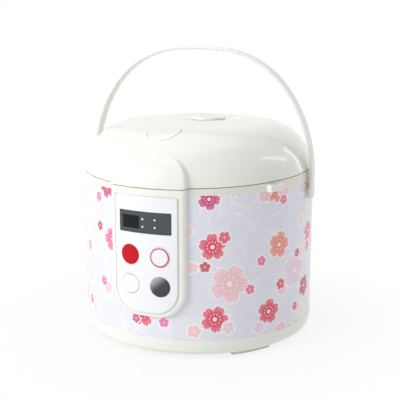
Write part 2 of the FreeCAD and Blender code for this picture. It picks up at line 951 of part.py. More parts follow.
def display_window():
    layer = curved_layer(plate_face - window_thickness + snug, plate_face + window_proud)
    holes = [lengthwise(lens_radius + fit / 2, -FAR, 0, x, z) for x in lens_columns for z in lens_rows]
    return layer.common(window_prism(0)).cut(holes)


def display_module():
    behind = plate_face - window_thickness - fit
    front = math.sqrt(behind ** 2 - readout_left ** 2)
    return box((readout_left, readout_right), (-front, -board_front),
               (window_bottom + readout_margin, window_top - readout_margin))


def indicator_lenses():
    skin = upright(plate_face + 2 * window_proud, 0, FAR)
    return [lengthwise(lens_radius, -FAR, -board_front, x, z).common(skin)
            for x in lens_columns for z in lens_rows]


def control_board():
    board = box((-skirt_half_width, skirt_half_width), (-board_front, -board_front + board_thickness),
                (skirt_bottom, skirt_top))
    return board.cut([lengthwise(small_screw_radius + screw_gap, -FAR, 0, x, z)
                      for x, z in control_bosses()])


def key_switches():
    half = switch_size / 2
    return [box((x - half, x + half), (-board_front - switch_height, -board_front), (z - half, z + half))
            for x in key_columns.values() for z in key_rows.values()]


def key(x, z):
    """Push key: a curved disc, a flange behind the plate and a stem to its switch."""
    flange_face = plate_back - slide_gap
    flange_back = flange_face - key_flange_thickness
    cap = lengthwise(key_radius, -FAR, 0, x, z).common(curved_layer(flange_back, plate_face + key_proud))
    flange = lengthwise(key_radius + key_flange_width, -FAR, 0, x, z)
    flange = flange.common(curved_layer(flange_back, flange_face))
    stem_end = -board_front - switch_height - key_travel - slide_gap / 2
    stem = lengthwise(key_stem_radius, -flange_face, stem_end, x, z).common(upright(flange_face, 0, FAR))
    return joined(cap, flange, stem)


def handle_pivots():
    inner = body_radius - pivot_depth
    outer = body_radius + handle_gap + handle_thickness - pivot_end_wall - fit
    return [crosswise(pivot_radius, -outer, -inner, 0, pivot_level),
            crosswise(pivot_radius, inner, outer, 0, pivot_level)]


def handle_washers():
    inner = body_radius + snug
    outer = body_radius + handle_gap - fit
    washers = [crosswise(washer_radius, -outer, -inner, 0, pivot_level),
               crosswise(washer_radius, inner, outer, 0, pivot_level)]
    bore = crosswise(pivot_radius + running_gap, -FAR, FAR, 0, pivot_level)
    return [washer.cut(bore) for washer in washers]


def mirrored(point):
    """Point on the other side of the body's middle plane."""
    return (-point[0], point[1])


def handle_outline(inset):
    """Edges of one arch line: arm, side arc and corner arc, top arc, and the same on the other side."""
    reach = body_radius + handle_gap + handle_thickness - inset
    side = handle_side_radius - inset
    corner = handle_corner_radius - inset
    top = handle_top_radius - inset
    side_centre = (reach - side, handle_side_start)
    corner_centre = on_circle(side_centre, side - corner, handle_side_turn)
    turn = math.degrees(math.acos(corner_centre[0] / (top - corner)))
    top_centre = corner_centre[1] - (top - corner) * math.sin(math.radians(turn))
    side_middle = on_circle(side_centre, side, handle_side_turn / 2)
    side_end = on_circle(side_centre, side, handle_side_turn)
    corner_middle = on_circle(corner_centre, corner, (handle_side_turn + turn) / 2)
    corner_end = on_circle(corner_centre, corner, turn)
    return [
        (reach, pivot_level), (reach, handle_side_start), (side_middle, side_end),
        (corner_middle, corner_end), ((0, top_centre + top), mirrored(corner_end)),
        (mirrored(corner_middle), mirrored(side_end)),
        (mirrored(side_middle), (-reach, handle_side_start)), (-reach, pivot_level)]


def filled_arch(inset):
    return section(*handle_outline(inset)).extrude(Vector(0, handle_width, 0))


def carry_handle():
    inner = body_radius + handle_gap
    outer = inner + handle_thickness
    arch = filled_arch(0).cut(filled_arch(handle_thickness))
    arch.translate(Vector(0, -handle_width / 2, 0))
    pads = [crosswise(handle_pad_radius, -outer, -inner, 0, pivot_level),
            crosswise(handle_pad_radius, inner, outer, 0, pivot_level)]
    handle = joined(arch, *pads)
    handle = handle.makeFillet(handle_edge, handle.Edges)
    reach = outer - pivot_end_wall
    return handle.cut(crosswise(pivot_radius + running_gap, -reach, reach, 0, pivot_level))


def spatula_holder():
    bottom = sleeve_top + fit
    top = bottom + holder_height
    back = body_radius - seam_gap
    front = body_radius + holder_proud
    block = box((-holder_half_width, holder_half_width), (-front, -back), (bottom, top))
    slot_middle = body_radius + holder_proud / 2
    slot = box((-holder_slot_half_width, holder_slot_half_width),
               (-slot_middle - holder_slot_depth / 2, -slot_middle + holder_slot_depth / 2), (bottom, top))
    block = rounded(block, holder_edge, lambda edge: edge.BoundBox.YMax < -body_radius)
    block = block.cut([slot, upright(body_radius + snug, 0, FAR)])
    block.rotate(Vector(0, 0, 0), Z_AXIS, holder_angle)
    return block


def hinge_pin():
    return crosswise(hinge_pin_radius, -knuckle_outer, knuckle_outer, hinge_y, hinge_z)


def crosswise_coil(pin_radius, wire, turns, left, right, y, z):
    """Torsion spring wound around a pin along X."""
    spring = coil(pin_radius + fit + wire / 2, wire, turns, left, right)
    spring.rotate(Vector(0, 0, 0), Y_AXIS, 90)
    spring.translate(Vector(0, y, z))
    return spring


def hinge_coil_radius():
    return hinge_pin_radius + fit + hinge_coil_wire


def hinge_spring():
    reach = spring_room - spring_gap
    return crosswise_coil(hinge_pin_radius, hinge_coil_wire, hinge_coil_turns, -reach, reach,
                          hinge_y, hinge_z)


def vent_dish(grow):
    """Ball that hollows out the dish around the steam vent."""
    dome_drop = vent_dish_radius ** 2 / (2 * crown_radius)
    radius = vent_dish_radius ** 2 / (2 * (vent_dish_depth - dome_drop))
    return Part.makeSphere(radius + grow, Vector(0, vent_back, dish_floor() + radius))


def dish_floor():
    return dome_level(vent_back) - vent_dish_depth


def hood():
    """Raised cap on the lid's front that carries the panel's face over the seam."""
    start = seam_at(-panel_radius)
    end_level = start + hood_rise
    end_radius = shoulder_centre + math.sqrt(shoulder_radius ** 2 - (end_level - shoulder_level) ** 2)
    depth = panel_radius - end_radius
    arc = (depth ** 2 + hood_rise ** 2) / (2 * depth)
    centre = (panel_radius - arc, start)
    turn = math.degrees(math.asin(hood_rise / arc))
    low = start - seam_rise
    inside = end_radius - lid_flange_width
    cap = turned(
        (inside, low), (panel_radius, low), (panel_radius, start),
        (on_circle(centre, arc, turn / 2), (end_radius, end_level)), (inside, end_level))
    prism = front_prism(panel_half_width, low, end_level, seam_corner, hood_corner)
    cap = cap.common(prism).common(above_seam(seam_gap / 2))
    return rounded(cap, hood_edge, on_hood_side)


def on_hood_side(edge):
    """True for the hood's two upright outer edges."""
    span = edge.BoundBox
    outside = math.hypot(span.Center.x, span.Center.y) > body_radius
    return outside and span.XLength < fit and span.ZLength > span.YLength


def lid_cover():
    flange_top = seam_gap / 2 + lid_flange
    shell = dome_envelope(0).common(above_seam(seam_gap / 2))
    hollow = dome_envelope(-moulded_wall)
    well_bottom = dome_level(button_forward) - well_depth
    well_radius = button_radius + slide_gap
    dome = dome_envelope(0)
    boss_bottom = dish_floor() - vent_boss_depth
    dish_rim = vent_dish_radius + 2 * moulded_wall
    extras = [
        hood().cut(hollow),
        upright(well_radius + well_wall, well_bottom, FAR, 0, button_y).common(dome),
        vent_dish(moulded_wall).common(upright(dish_rim, boss_bottom, FAR, 0, vent_back)).common(dome),
        upright(vent_boss_radius, boss_bottom, FAR, 0, vent_back).common(dome)]
    inside = above_seam(seam_gap / 2)
    for x, y in lid_screws_at():
        boss = upright(lid_column_radius, 0, seam_at(y) + flange_top + lid_boss_height, x, y)
        extras.append(boss.common(inside))
    for left in (-latch_bracket_outer, latch_bracket_inner):
        right = left + latch_bracket_outer - latch_bracket_inner
        half = latch_hub_radius
        cheek = box((left, right), (latch_y - half, latch_y + half), (0, latch_z() + half))
        extras.append(cheek.common(inside))
    lug = knuckle_inner - knuckle_gap
    extras.append(crosswise(knuckle_radius, -lug, lug, hinge_y, hinge_z))
    extras.append(box((-lug, lug), (collar_inside - 2 * moulded_wall, hinge_y),
                      (hinge_z, hinge_z + knuckle_radius)))
    shell = shell.cut(hollow.common(above_seam(flange_top)))
    shell = shell.cut(upright(flange_inside, 0, FAR).common(hollow))
    rooms = []
    for left in (-knuckle_outer - knuckle_gap, knuckle_inner - knuckle_gap):
        right = left + knuckle_outer - knuckle_inner + 2 * knuckle_gap
        rooms.append(crosswise(knuckle_radius + knuckle_room, left, right, hinge_y, hinge_z))
    cover = joined(shell.cut(rooms), *extras)
    stem_radius = button_stem_radius + slide_gap
    cuts = [
        vent_dish(0),
        upright(vent_hole_radius, boss_bottom, FAR, 0, vent_back),
        upright(well_radius, well_bottom + well_wall, FAR, 0, button_y),
        upright(stem_radius, well_bottom, FAR, 0, button_y),
        crosswise(hinge_pin_radius + running_gap, -FAR, FAR, hinge_y, hinge_z),
        crosswise(hinge_coil_radius() + spring_gap, -spring_room, spring_room, hinge_y, hinge_z),
        crosswise(latch_pin_radius + running_gap, -latch_bracket_outer, latch_bracket_outer,
                  latch_y, latch_z()),
        box((-latch_slot_half_width, latch_slot_half_width), (-slot_front(), moulded_wall - flange_inside),
            (liner_bottom, seam_level + lid_flange))]
    cuts += [upright(lid_screw_radius + screw_gap, 0, liner_bottom + lid_screw_length + screw_gap, x, y)
             for x, y in lid_screws_at()]
    return cover.cut(cuts)


def slot_front():
    return collar_inside - latch_slot_margin


def latch_z():
    return seam_at(latch_y) + seam_gap / 2 + lid_flange + latch_rise + latch_hub_radius


def lid_liner():
    floor = upright(liner_radius, liner_bottom, liner_top)
    wall = tube(liner_radius, liner_radius - moulded_wall, liner_bottom, FAR)
    columns = [upright(lid_column_radius, liner_bottom, FAR, x, y) for x, y in lid_screws_at()]
    tray = joined(floor, wall, *columns).cut(above_seam(seam_gap / 2))
    cuts = [upright(steam_hole_radius, 0, FAR, 0, vent_back)]
    for x, y in lid_screws_at():
        cuts.append(upright(lid_screw_radius + screw_gap, 0, FAR, x, y))
        cuts.append(upright(lid_head_radius + fit, 0, liner_top, x, y))
    cuts.append(box((-latch_slot_half_width, latch_slot_half_width), (-FAR, -inner_plate_radius - fit),
                    (0, FAR)))
    return tray.cut(cuts)


def inner_lid_plate():
    plate = upright(inner_plate_radius, inner_plate_bottom, liner_bottom)
    return plate.cut(upright(steam_hole_radius, 0, FAR, 0, vent_back))


def lid_gasket():
    outer = pot_radius + pot_rim_width
    return tube(outer, outer - gasket_width, gasket_bottom, inner_plate_bottom)


def vent_pipe():
    top = dish_floor() - vent_boss_depth
    return tube(vent_hole_radius + vent_pipe_wall, vent_hole_radius, liner_top, top, 0, vent_back)


def vent_cap():
    edge = vent_cap_radius - vent_cap_edge
    lift = vent_cap_radius ** 2 / (2 * crown_radius)
    bottom = dish_floor() + vent_dish_depth * (vent_cap_radius / vent_dish_radius) ** 2 - lift + slide_gap
    shoulder = dish_floor() + vent_cap_rise
    stub = vent_hole_radius - slide_gap
    end = bottom - vent_stub_length
    crown = (vent_cap_crown ** 2 + edge ** 2) / (2 * vent_cap_crown)
    crown_angle = math.degrees(math.asin(edge / crown))
    centre = (0.0, shoulder + vent_cap_crown - crown)
    cap = turned(
        (stub - vent_stub_wall, end), (stub, end), (stub, bottom), (vent_cap_radius, bottom),
        (vent_cap_radius, shoulder - vent_cap_edge),
        (on_circle((edge, shoulder - vent_cap_edge), vent_cap_edge, 45), (edge, shoulder)),
        (on_circle(centre, crown, 90 - crown_angle / 2), (0, shoulder + vent_cap_crown)),
        (0, bottom), (stub - vent_stub_wall, bottom))
    slots = []
    for index in range(vent_slot_count):
        y = (index - (vent_slot_count - 1) / 2) * vent_slot_pitch
        half_length = vent_slot_length / 2
        half_width = vent_slot_width / 2
        slots.append(box((-half_length, half_length), (y - half_width, y + half_width), (bottom, FAR)))
    cap = cap.cut(slots)
    cap.translate(Vector(0, vent_back, 0))
    return cap


def lid_screws():
    return [joined(upright(lid_head_radius, liner_bottom, liner_top, x, y),
                   upright(lid_screw_radius, liner_bottom, liner_bottom + lid_screw_length, x, y))
            for x, y in lid_screws_at()]


def latch_pin():
    return crosswise(latch_pin_radius, -latch_bracket_outer, latch_bracket_outer, latch_y, latch_z())


def latch_spring():
    left = latch_half_width + fit
    right = latch_bracket_inner - fit
    return crosswise_coil(latch_pin_radius, latch_coil_wire, latch_coil_turns, left, right,
                          latch_y, latch_z())


def latch_arm_top():
    return latch_z() + latch_hub_radius


def release_button():
    bottom = dome_level(button_forward) - button_depth
    tip_end = latch_arm_top() + button_touch
    disc = upright(button_radius, bottom, FAR, 0, button_y).common(dome_envelope(button_proud))
    disc = rounded(disc, button_edge, lambda edge: rim_edge(edge, bottom))
    stem = upright(button_stem_radius, tip_end + button_tip_length, bottom + fit, 0, button_y)
    tip = upright(button_tip_radius, tip_end, bottom, 0, button_y)
    return joined(disc, stem, tip)


def rim_edge(edge, bottom):
    """True for the button's edge at its top face."""
    span = edge.BoundBox
    return span.ZMin > bottom + fit and span.XLength > fit


def button_spring():
    bottom = dome_level(button_forward) - well_depth + well_wall
    top = dome_level(button_forward) - button_depth
    spring = coil(button_coil_radius, button_wire, button_turns, bottom + touch_gap, top - touch_gap)
    spring.translate(Vector(0, button_y, 0))
    return spring


def catch_lip_bottom():
    return deck_top + catch_base + toe_height + 2 * catch_gap


def hook_back():
    return latch_y - hook_offset


def latch_lever():
    z = latch_z()
    width = (-latch_half_width, latch_half_width)
    toe_top = catch_lip_bottom() - catch_gap
    hub = crosswise(latch_hub_radius, width[0], width[1], latch_y, z)
    arm = box(width, (latch_y, button_y + latch_arm_past),
              (latch_arm_top() - latch_arm_thickness, latch_arm_top()))
    hook_front = hook_back() - hook_thickness
    hook = box(width, (hook_front, hook_back()), (toe_top - toe_height, z))
    toe = box(width, (hook_front, hook_back() + toe_length), (toe_top - toe_height, toe_top))
    lever = joined(hub, arm, hook, toe)
    return lever.cut(crosswise(latch_pin_radius + running_gap, -FAR, FAR, latch_y, z))


def latch_catch():
    width = (-catch_half_width, catch_half_width)
    lip_front = hook_back() + toe_length - catch_overlap
    post_front = hook_back() + toe_length + catch_gap
    post_back = post_front + catch_post
    lip_bottom = catch_lip_bottom()
    base = box(width, (hook_back() - hook_thickness, post_back), (deck_top, deck_top + catch_base))
    post = box(width, (post_front, post_back), (deck_top, lip_bottom + catch_lip))
    lip = box(width, (lip_front, post_back), (lip_bottom, lip_bottom + catch_lip))
    return joined(base, post, lip)


def save(name, pieces):
    """Write one node, which may hold several separate solids."""
    shape = Part.makeCompound(pieces) if isinstance(pieces, list) else pieces
    shape.exportStep(os.path.join("parts", name + ".step"))


os.makedirs("parts", exist_ok=True)
makers = [
    base_tray, feet, sleeve, collar, inner_shell, inner_pot, heating_plate, heater_element, heater_posts,
    thermostat_guide, thermostat_cap, thermostat_spring, support_posts, base_screws, shell_screws,
    power_board, board_parts, board_screws, power_inlet, inlet_pins, inlet_leads, heater_leads,
    control_ribbon, thermal_fuse, panel_bezel, panel_plate, display_window, display_module,
    indicator_lenses, control_board, key_switches, handle_pivots, handle_washers, carry_handle,
    spatula_holder, hinge_pin, hinge_spring, lid_cover, lid_liner, inner_lid_plate, lid_gasket,
    vent_pipe, vent_cap, lid_screws, latch_pin, latch_spring, release_button, button_spring,
    latch_lever, latch_catch]
for make in makers:
    save(make.__name__, make())
for row, level in key_rows.items():
    for column, offset in key_columns.items():
        save("key_" + row + "_" + column, key(offset, level))
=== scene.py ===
"""Looks of a rice cooker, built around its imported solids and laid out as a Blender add-on."""

import json
import math

import bmesh
import bpy
from bpy.props import FloatProperty, FloatVectorProperty, PointerProperty
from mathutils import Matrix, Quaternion, Vector

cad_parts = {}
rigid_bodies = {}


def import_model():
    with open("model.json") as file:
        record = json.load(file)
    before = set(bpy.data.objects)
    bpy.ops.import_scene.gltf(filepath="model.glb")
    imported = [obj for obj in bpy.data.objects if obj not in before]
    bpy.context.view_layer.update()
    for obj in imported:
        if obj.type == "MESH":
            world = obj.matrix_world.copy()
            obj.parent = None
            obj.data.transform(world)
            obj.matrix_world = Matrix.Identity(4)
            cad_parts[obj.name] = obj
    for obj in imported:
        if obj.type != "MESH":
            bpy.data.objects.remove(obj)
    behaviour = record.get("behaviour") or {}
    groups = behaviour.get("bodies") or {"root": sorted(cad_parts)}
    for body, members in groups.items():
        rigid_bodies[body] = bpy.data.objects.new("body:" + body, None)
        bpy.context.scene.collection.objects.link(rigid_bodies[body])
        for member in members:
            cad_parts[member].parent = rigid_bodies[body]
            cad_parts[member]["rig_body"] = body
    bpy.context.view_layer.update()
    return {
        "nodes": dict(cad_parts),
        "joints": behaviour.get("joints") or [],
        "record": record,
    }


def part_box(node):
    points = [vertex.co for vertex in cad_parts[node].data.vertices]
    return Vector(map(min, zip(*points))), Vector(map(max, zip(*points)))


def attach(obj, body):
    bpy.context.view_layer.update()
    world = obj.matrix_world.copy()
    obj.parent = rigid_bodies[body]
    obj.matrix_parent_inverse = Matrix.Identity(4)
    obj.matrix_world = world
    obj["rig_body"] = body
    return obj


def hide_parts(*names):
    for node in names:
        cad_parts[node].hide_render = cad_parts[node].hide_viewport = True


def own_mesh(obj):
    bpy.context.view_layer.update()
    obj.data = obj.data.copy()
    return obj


bl_info = {
    "name": "Rice cooker looks",
    "version": (1, 0, 0),
    "blender": (4, 5, 0),
    "location": "View3D > Sidebar > Rice cooker",
    "description": "Dresses the rice cooker's solids with finished meshes, materials and a studio",
    "category": "Object",
}

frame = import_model()

SHARP_ANGLE = math.radians(32)
MERGE_DISTANCE = 1e-6
ROUND_STEPS = 240
CORNER_STEPS = 10
EDGE_STEPS = 4
CIRCLE_STEPS = 72
CROWN_RINGS = 6
FEWEST_ARC_STEPS = 8
FRONT, REAR = -1, 1


def node_low(name):
    """Lowest corner of a solid."""
    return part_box(name)[0]


def node_high(name):
    """Highest corner of a solid."""
    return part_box(name)[1]


def node_middle(name):
    """Middle of a solid's box."""
    low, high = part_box(name)
    return (low + high) / 2


def joint_place(name):
    """Point that a joint turns about."""
    return Vector(next(joint["pos_m"] for joint in frame["joints"] if joint["name"] == name))


def linear(red, green, blue):
    """Linear colour from the usual 0 to 255 screen values."""
    shares = [value / 255 for value in (red, green, blue)]
    return tuple(s / 12.92 if s <= 0.04045 else ((s + 0.055) / 1.055) ** 2.4 for s in shares)


def length(name, description, default):
    """Property for a size in metres."""
    return FloatProperty(name=name, description=description, default=default, unit="LENGTH", precision=4)


def turn(name, description, degrees):
    """Property for an angle, with its default in degrees."""
    return FloatProperty(name=name, description=description, default=math.radians(degrees), subtype="ANGLE")


def power(name, description, default):
    """Property for a lamp's power."""
    return FloatProperty(name=name, description=description, default=default, unit="POWER")


def colour(name, description, default):
    """Property for a colour."""
    return FloatVectorProperty(name=name, description=description, default=default, subtype="COLOR",
                               size=3, min=0.0, max=1.0)


class CookerSizes(bpy.types.PropertyGroup):
    """Sizes of the meshes that are modelled here"""

    body_radius: length("Body radius", "Outside of the printed sleeve", node_high("sleeve").x)
    sheet: length("Sheet", "Thickness of the printed sleeve", 0.0008)
    opening_half_width: length("Opening", "Half width of the sleeve's opening behind the panel", 0.0317)
    opening_bottom: length("Opening bottom", "Lower edge of the sleeve's opening", 0.0538)
    opening_top: length("Opening top", "Upper edge of the sleeve's opening", 0.1622)
    inlet_half_width: length("Inlet half width", "Half width of the power inlet's body", 0.0135)
    inlet_half_height: length("Inlet half height", "Half height of the power inlet's body", 0.0095)
    fit: length("Fit", "Gap between pieces that sit in or on one another", 0.0002)
    strip: length("Strip", "Width of the flat strips that a curved panel is bent from", 0.0015)
    seam_level: length("Seam level", "Height of the collar's top at the body's axis", 0.1832)
    seam_tilt: turn("Seam tilt", "The seam falls towards the front by this angle", 2.6)
    bezel_corner: length("Bezel corner", "Radius of the bezel's lower corners", 0.029)
    bezel_edge: length("Bezel edge", "Rounding of the bezel's outer edge", 0.003)
    groove: length("Groove", "Gap between the panel's film and the bezel", 0.0014)
    film_corner: length("Film corner", "Radius of the film's lower corners", 0.024)
    film_top_corner: length("Film top corner", "Radius of the film's upper corners", 0.002)
    film_edge: length("Film edge", "Rounding of the film's edge", 0.0005)
    film_thickness: length("Film thickness", "Thickness of the panel's film and its carrier", 0.0019)
    window_corner: length("Window corner", "Radius of the display window's corners", 0.0007)
    window_edge: length("Window edge", "Rounding of the display window's edge", 0.0002)
    window_thickness: length("Window thickness", "Thickness of the display window", 0.0009)
    key_edge: length("Key edge", "Rounding of a key's edge", 0.0007)
    key_crown: length("Key crown", "Rise of a key's middle", 0.0003)
    key_gap: length("Key gap", "Gap between a key and the film", 0.00035)
    key_flange: length("Key flange", "Width of the hidden flange around a key's cap", 0.0013)
    key_rise: length("Key rise", "Height of a key's face above the film", 0.0009)
    handle_width: length("Handle width", "Width of the carrying strap", 0.012)
    handle_thickness: length("Handle thickness", "Thickness of the carrying strap", 0.0032)
    handle_edge: length("Handle edge", "Rounding of the carrying strap's edges", 0.0012)
    handle_arm: length("Handle arm", "Straight stretch above the pivot", 0.018)
    handle_side: length("Handle side", "Radius of the handle's side arcs", 0.150)
    handle_corner: length("Handle corner", "Radius of the handle's corner arcs", 0.106)
    handle_top: length("Handle top", "Radius of the handle's top arc", 0.300)
    handle_side_turn: turn("Handle side turn", "Turn of the handle's side arcs", 35.0)


class CookerColours(bpy.types.PropertyGroup):
    """Colours of the finishes"""

    cream: colour("Cream", "Lid, bezel and base moulding", linear(242, 245, 236))
    # The handle's cream is the lid's cream made a little darker: painted shade on the handle.
    handle_cream: colour("Handle cream", "Carrying handle", linear(235, 237, 230))
    collar_cream: colour("Collar cream", "Collar moulding", linear(238, 235, 223))
    sheet_white: colour("Sheet white", "Ground of the printed sleeve", linear(231, 231, 242))
    film_white: colour("Film white", "Film on the control panel", linear(243, 244, 249))
    window_grey: colour("Window grey", "Display window", linear(80, 86, 90))
    readout_black: colour("Readout black", "Area of the display", linear(32, 35, 34))
    key_white: colour("Key white", "White keys", linear(246, 246, 248))
    key_red: colour("Key red", "Red key and the ring of the ringed key", linear(200, 10, 26))
    key_grey: colour("Key grey", "Dark end of the graded key", linear(70, 72, 77))
    # Pale end of the graded key: a painted highlight on its upper left.
    key_silver: colour("Key silver", "Pale end of the graded key", linear(176, 178, 183))
    # Darker rim of the red key: painted shade around its edge.
    red_edge: colour("Red edge", "Rim of the red key", (0.3, 0.0, 0.01))
    # Grey crescents on the lower left key: painted shade at the top and bottom of its edge.
    crescent_grey: colour("Crescent grey", "Crescents on the lower left key", linear(120, 120, 122))
    blossom_heart: colour("Blossom heart", "Middle of the printed blossoms", linear(255, 240, 226))
    seam_grey: colour("Seam grey", "Line of the sleeve's lap seam", (0.2, 0.2, 0.22))
    foot_cream: colour("Foot cream", "Rubber feet", linear(250, 250, 240))
    lens_white: colour("Lens white", "Lamps beside the readout", linear(248, 249, 250))
    inner_white: colour("Inner white", "Plastic inside the lid and the body", linear(232, 231, 224))
    gasket_grey: colour("Gasket grey", "Silicone of the lid's gasket", linear(214, 215, 214))
    lead_white: colour("Lead white", "Insulation of the leads", linear(226, 224, 218))
    inlet_black: colour("Inlet black", "Black plastic", linear(34, 34, 36))
    pot_silver: colour("Pot silver", "Spun aluminium of the pot", linear(214, 215, 217))
    cast_silver: colour("Cast silver", "Cast aluminium of the heating plate", linear(184, 186, 188))
    steel_silver: colour("Steel silver", "Springs, pins and screws", linear(208, 210, 212))
    brass_yellow: colour("Brass yellow", "Pins of the inlet", linear(212, 176, 96))
    zinc_dark: colour("Zinc dark", "Darkest spangle of the zinc coat", linear(168, 172, 176))
    zinc_pale: colour("Zinc pale", "Palest spangle of the zinc coat", linear(206, 209, 212))
    board_dark: colour("Board dark", "Darker lacquer of the boards", linear(26, 92, 54))
    board_pale: colour("Board pale", "Paler lacquer of the boards", linear(30, 102, 60))
    board_runs: colour("Board runs", "Copper runs under the lacquer", linear(74, 136, 84))


class StageSettings(bpy.types.PropertyGroup):
    """Camera and lights"""

    azimuth: turn("Azimuth", "Turn of the camera to the right of the front", 24.0)
    distance: length("Distance", "Camera's distance from the body's axis", 0.9277)
    height: length("Height", "Camera's height above the table", 0.3404)
    aim_height: length("Aim height", "Height that the camera looks at", 0.1398)
    side_step: length("Side step", "Sideways shift of the camera", 0.00114)
    clip_start: length("Clip start", "Nearest distance that the camera shows", 0.05)
    lens: FloatProperty(name="Lens", description="Focal length", default=75.57, unit="CAMERA")
    key_power: power("Key light", "Light from the left", 24.6)
    fill_power: power("Fill light", "Light from the right", 0.5)
    top_power: power("Top light", "Light from above", 4.5)
    glint_power: power("Glint light", "Strip that shows in the lid's shoulder", 0.5)
    rim_power: power("Rim light", "Strip behind the cooker that shows along the lid's right edge", 1.7)
    sky: FloatProperty(name="Sky", description="Even light from all round", default=0.48)
    floor_white: colour("Floor white", "Floor under the cooker", linear(246, 246, 246))


# Shader wiring

FLOAT = "NodeSocketFloat"
VECTOR = "NodeSocketVector"
COLOUR = "NodeSocketColor"
WHITE = (1.0, 1.0, 1.0, 1.0)
MIX_SHARE, MIX_FIRST, MIX_SECOND, MIX_RESULT = 0, 6, 7, 2


def feed(tree, target, value):
    """Link a socket or set a constant on an input."""
    if isinstance(value, bpy.types.NodeSocket):
        tree.links.new(value, target)
    else:
        target.default_value = value


def feed_all(tree, node, inputs):
    """Link or set several inputs of a node, by their names or places."""
    for name, value in inputs.items():
        feed(tree, node.inputs[name], value)


def add_node(tree, kind, inputs=None, **settings):
    """New node with its settings and inputs."""
    node = tree.nodes.new(kind)
    for name, value in settings.items():
        setattr(node, name, value)
    feed_all(tree, node, inputs or {})
    return node


def calc(tree, operation, *values, clamp=False):
    """Result of a Math node."""
    node = add_node(tree, "ShaderNodeMath", operation=operation, use_clamp=clamp)
    for target, value in zip(node.inputs, values):
        feed(tree, target, value)
    return node.outputs[0]


def vector_calc(tree, operation, *values, scale=None):
    """Vector result of a Vector Math node."""
    node = add_node(tree, "ShaderNodeVectorMath", operation=operation)
    for target, value in zip(node.inputs, values):
        feed(tree, target, value)
    if scale is not None:
        feed(tree, node.inputs["Scale"], scale)
    return node.outputs["Vector"]


def times(tree, first, second):
    """Product of two values."""
    return calc(tree, "MULTIPLY", first, second)


def inverse(tree, mask):
    """1 where a mask is 0, and the other way round."""
    return calc(tree, "SUBTRACT", 1.0, mask)


def vector_length(tree, vector):
    """Length of a vector."""
    return add_node(tree, "ShaderNodeVectorMath", operation="LENGTH", inputs={0: vector}).outputs["Value"]


def split(tree, vector):
    """X, Y and Z of a vector."""
    return add_node(tree, "ShaderNodeSeparateXYZ", inputs={"Vector": vector}).outputs


def combine(tree, x, y, z):
    """Vector from three values."""
    return add_node(tree, "ShaderNodeCombineXYZ", inputs={"X": x, "Y": y, "Z": z}).outputs["Vector"]


def ramp_down(tree, value, start, end):
    """Mask that falls from 1 at a start value to 0 at an end value, which may be the lower one."""
    limits = {"Value": value, "From Min": start, "From Max": end, "To Min": 1.0, "To Max": 0.0}
    return add_node(tree, "ShaderNodeMapRange", inputs=limits, interpolation_type="SMOOTHSTEP").outputs[0]


def band(tree, value, low, high, blur):
    """Mask that is 1 between two values."""
    below_high = ramp_down(tree, value, high - blur, high)
    below_low = ramp_down(tree, value, low, low + blur)
    return calc(tree, "SUBTRACT", below_high, below_low, clamp=True)


def mix_colour(tree, share, first, second):
    """Blend of two colours."""
    inputs = {MIX_SHARE: share, MIX_FIRST: first, MIX_SECOND: second}
    return add_node(tree, "ShaderNodeMix", inputs=inputs, data_type="RGBA").outputs[MIX_RESULT]


def opaque(shade):
    """Colour with its alpha."""
    return (*shade, 1.0)


def palette(tree, value, shades):
    """One of several colours, picked by a random value."""
    node = add_node(tree, "ShaderNodeValToRGB", inputs={"Fac": value})
    node.color_ramp.interpolation = "CONSTANT"
    elements = node.color_ramp.elements
    for index, shade in enumerate(shades):
        place = index / len(shades)
        element = elements[index] if index < len(elements) else elements.new(place)
        element.position = place
        element.color = opaque(shade)
    return node.outputs["Color"]


def noise(tree, place, scale, detail=2.0):
    """Smooth noise from 0 to 1."""
    node = add_node(tree, "ShaderNodeTexNoise", inputs={"Vector": place, "Scale": scale, "Detail": detail})
    return node.outputs["Fac"]


def new_group(name, inputs, outputs):
    """Empty node group with named sockets."""
    group = bpy.data.node_groups.new(name, "ShaderNodeTree")
    for label, kind in inputs:
        group.interface.new_socket(label, in_out="INPUT", socket_type=kind)
    for label, kind in outputs:
        group.interface.new_socket(label, in_out="OUTPUT", socket_type=kind)
    entry = group.nodes.new("NodeGroupInput")
    result = group.nodes.new("NodeGroupOutput")
    return group, entry.outputs, result.inputs


def place_group(tree, maker, inputs):
    """Node that uses a group, which is built on its first use."""
    name = maker.__name__
    shared = bpy.data.node_groups.get(name) or maker(name)
    return add_node(tree, "ShaderNodeGroup", inputs=inputs, node_tree=shared).outputs


# Effects that several finishes share

def moulded_skin(name):
    """Group: slight drift of colour and gloss, and the fine grain of a moulded surface."""
    group, entry, result = new_group(
        name,
        [("Place", VECTOR), ("Colour", COLOUR), ("Drift", FLOAT), ("Roughness", FLOAT), ("Grain", FLOAT)],
        [("Colour", COLOUR), ("Roughness", FLOAT), ("Height", FLOAT)])
    drift_scale, haze_scale, haze_depth = 18.0, 60.0, 0.08
    drift = times(group, noise(group, entry["Place"], drift_scale), entry["Drift"])
    shade = inverse(group, drift)
    feed(group, result["Colour"], vector_calc(group, "SCALE", entry["Colour"], scale=shade))
    haze = times(group, noise(group, entry["Place"], haze_scale), haze_depth)
    feed(group, result["Roughness"], calc(group, "ADD", entry["Roughness"], haze))
    feed(group, result["Height"], noise(group, entry["Place"], entry["Grain"]))
    return group


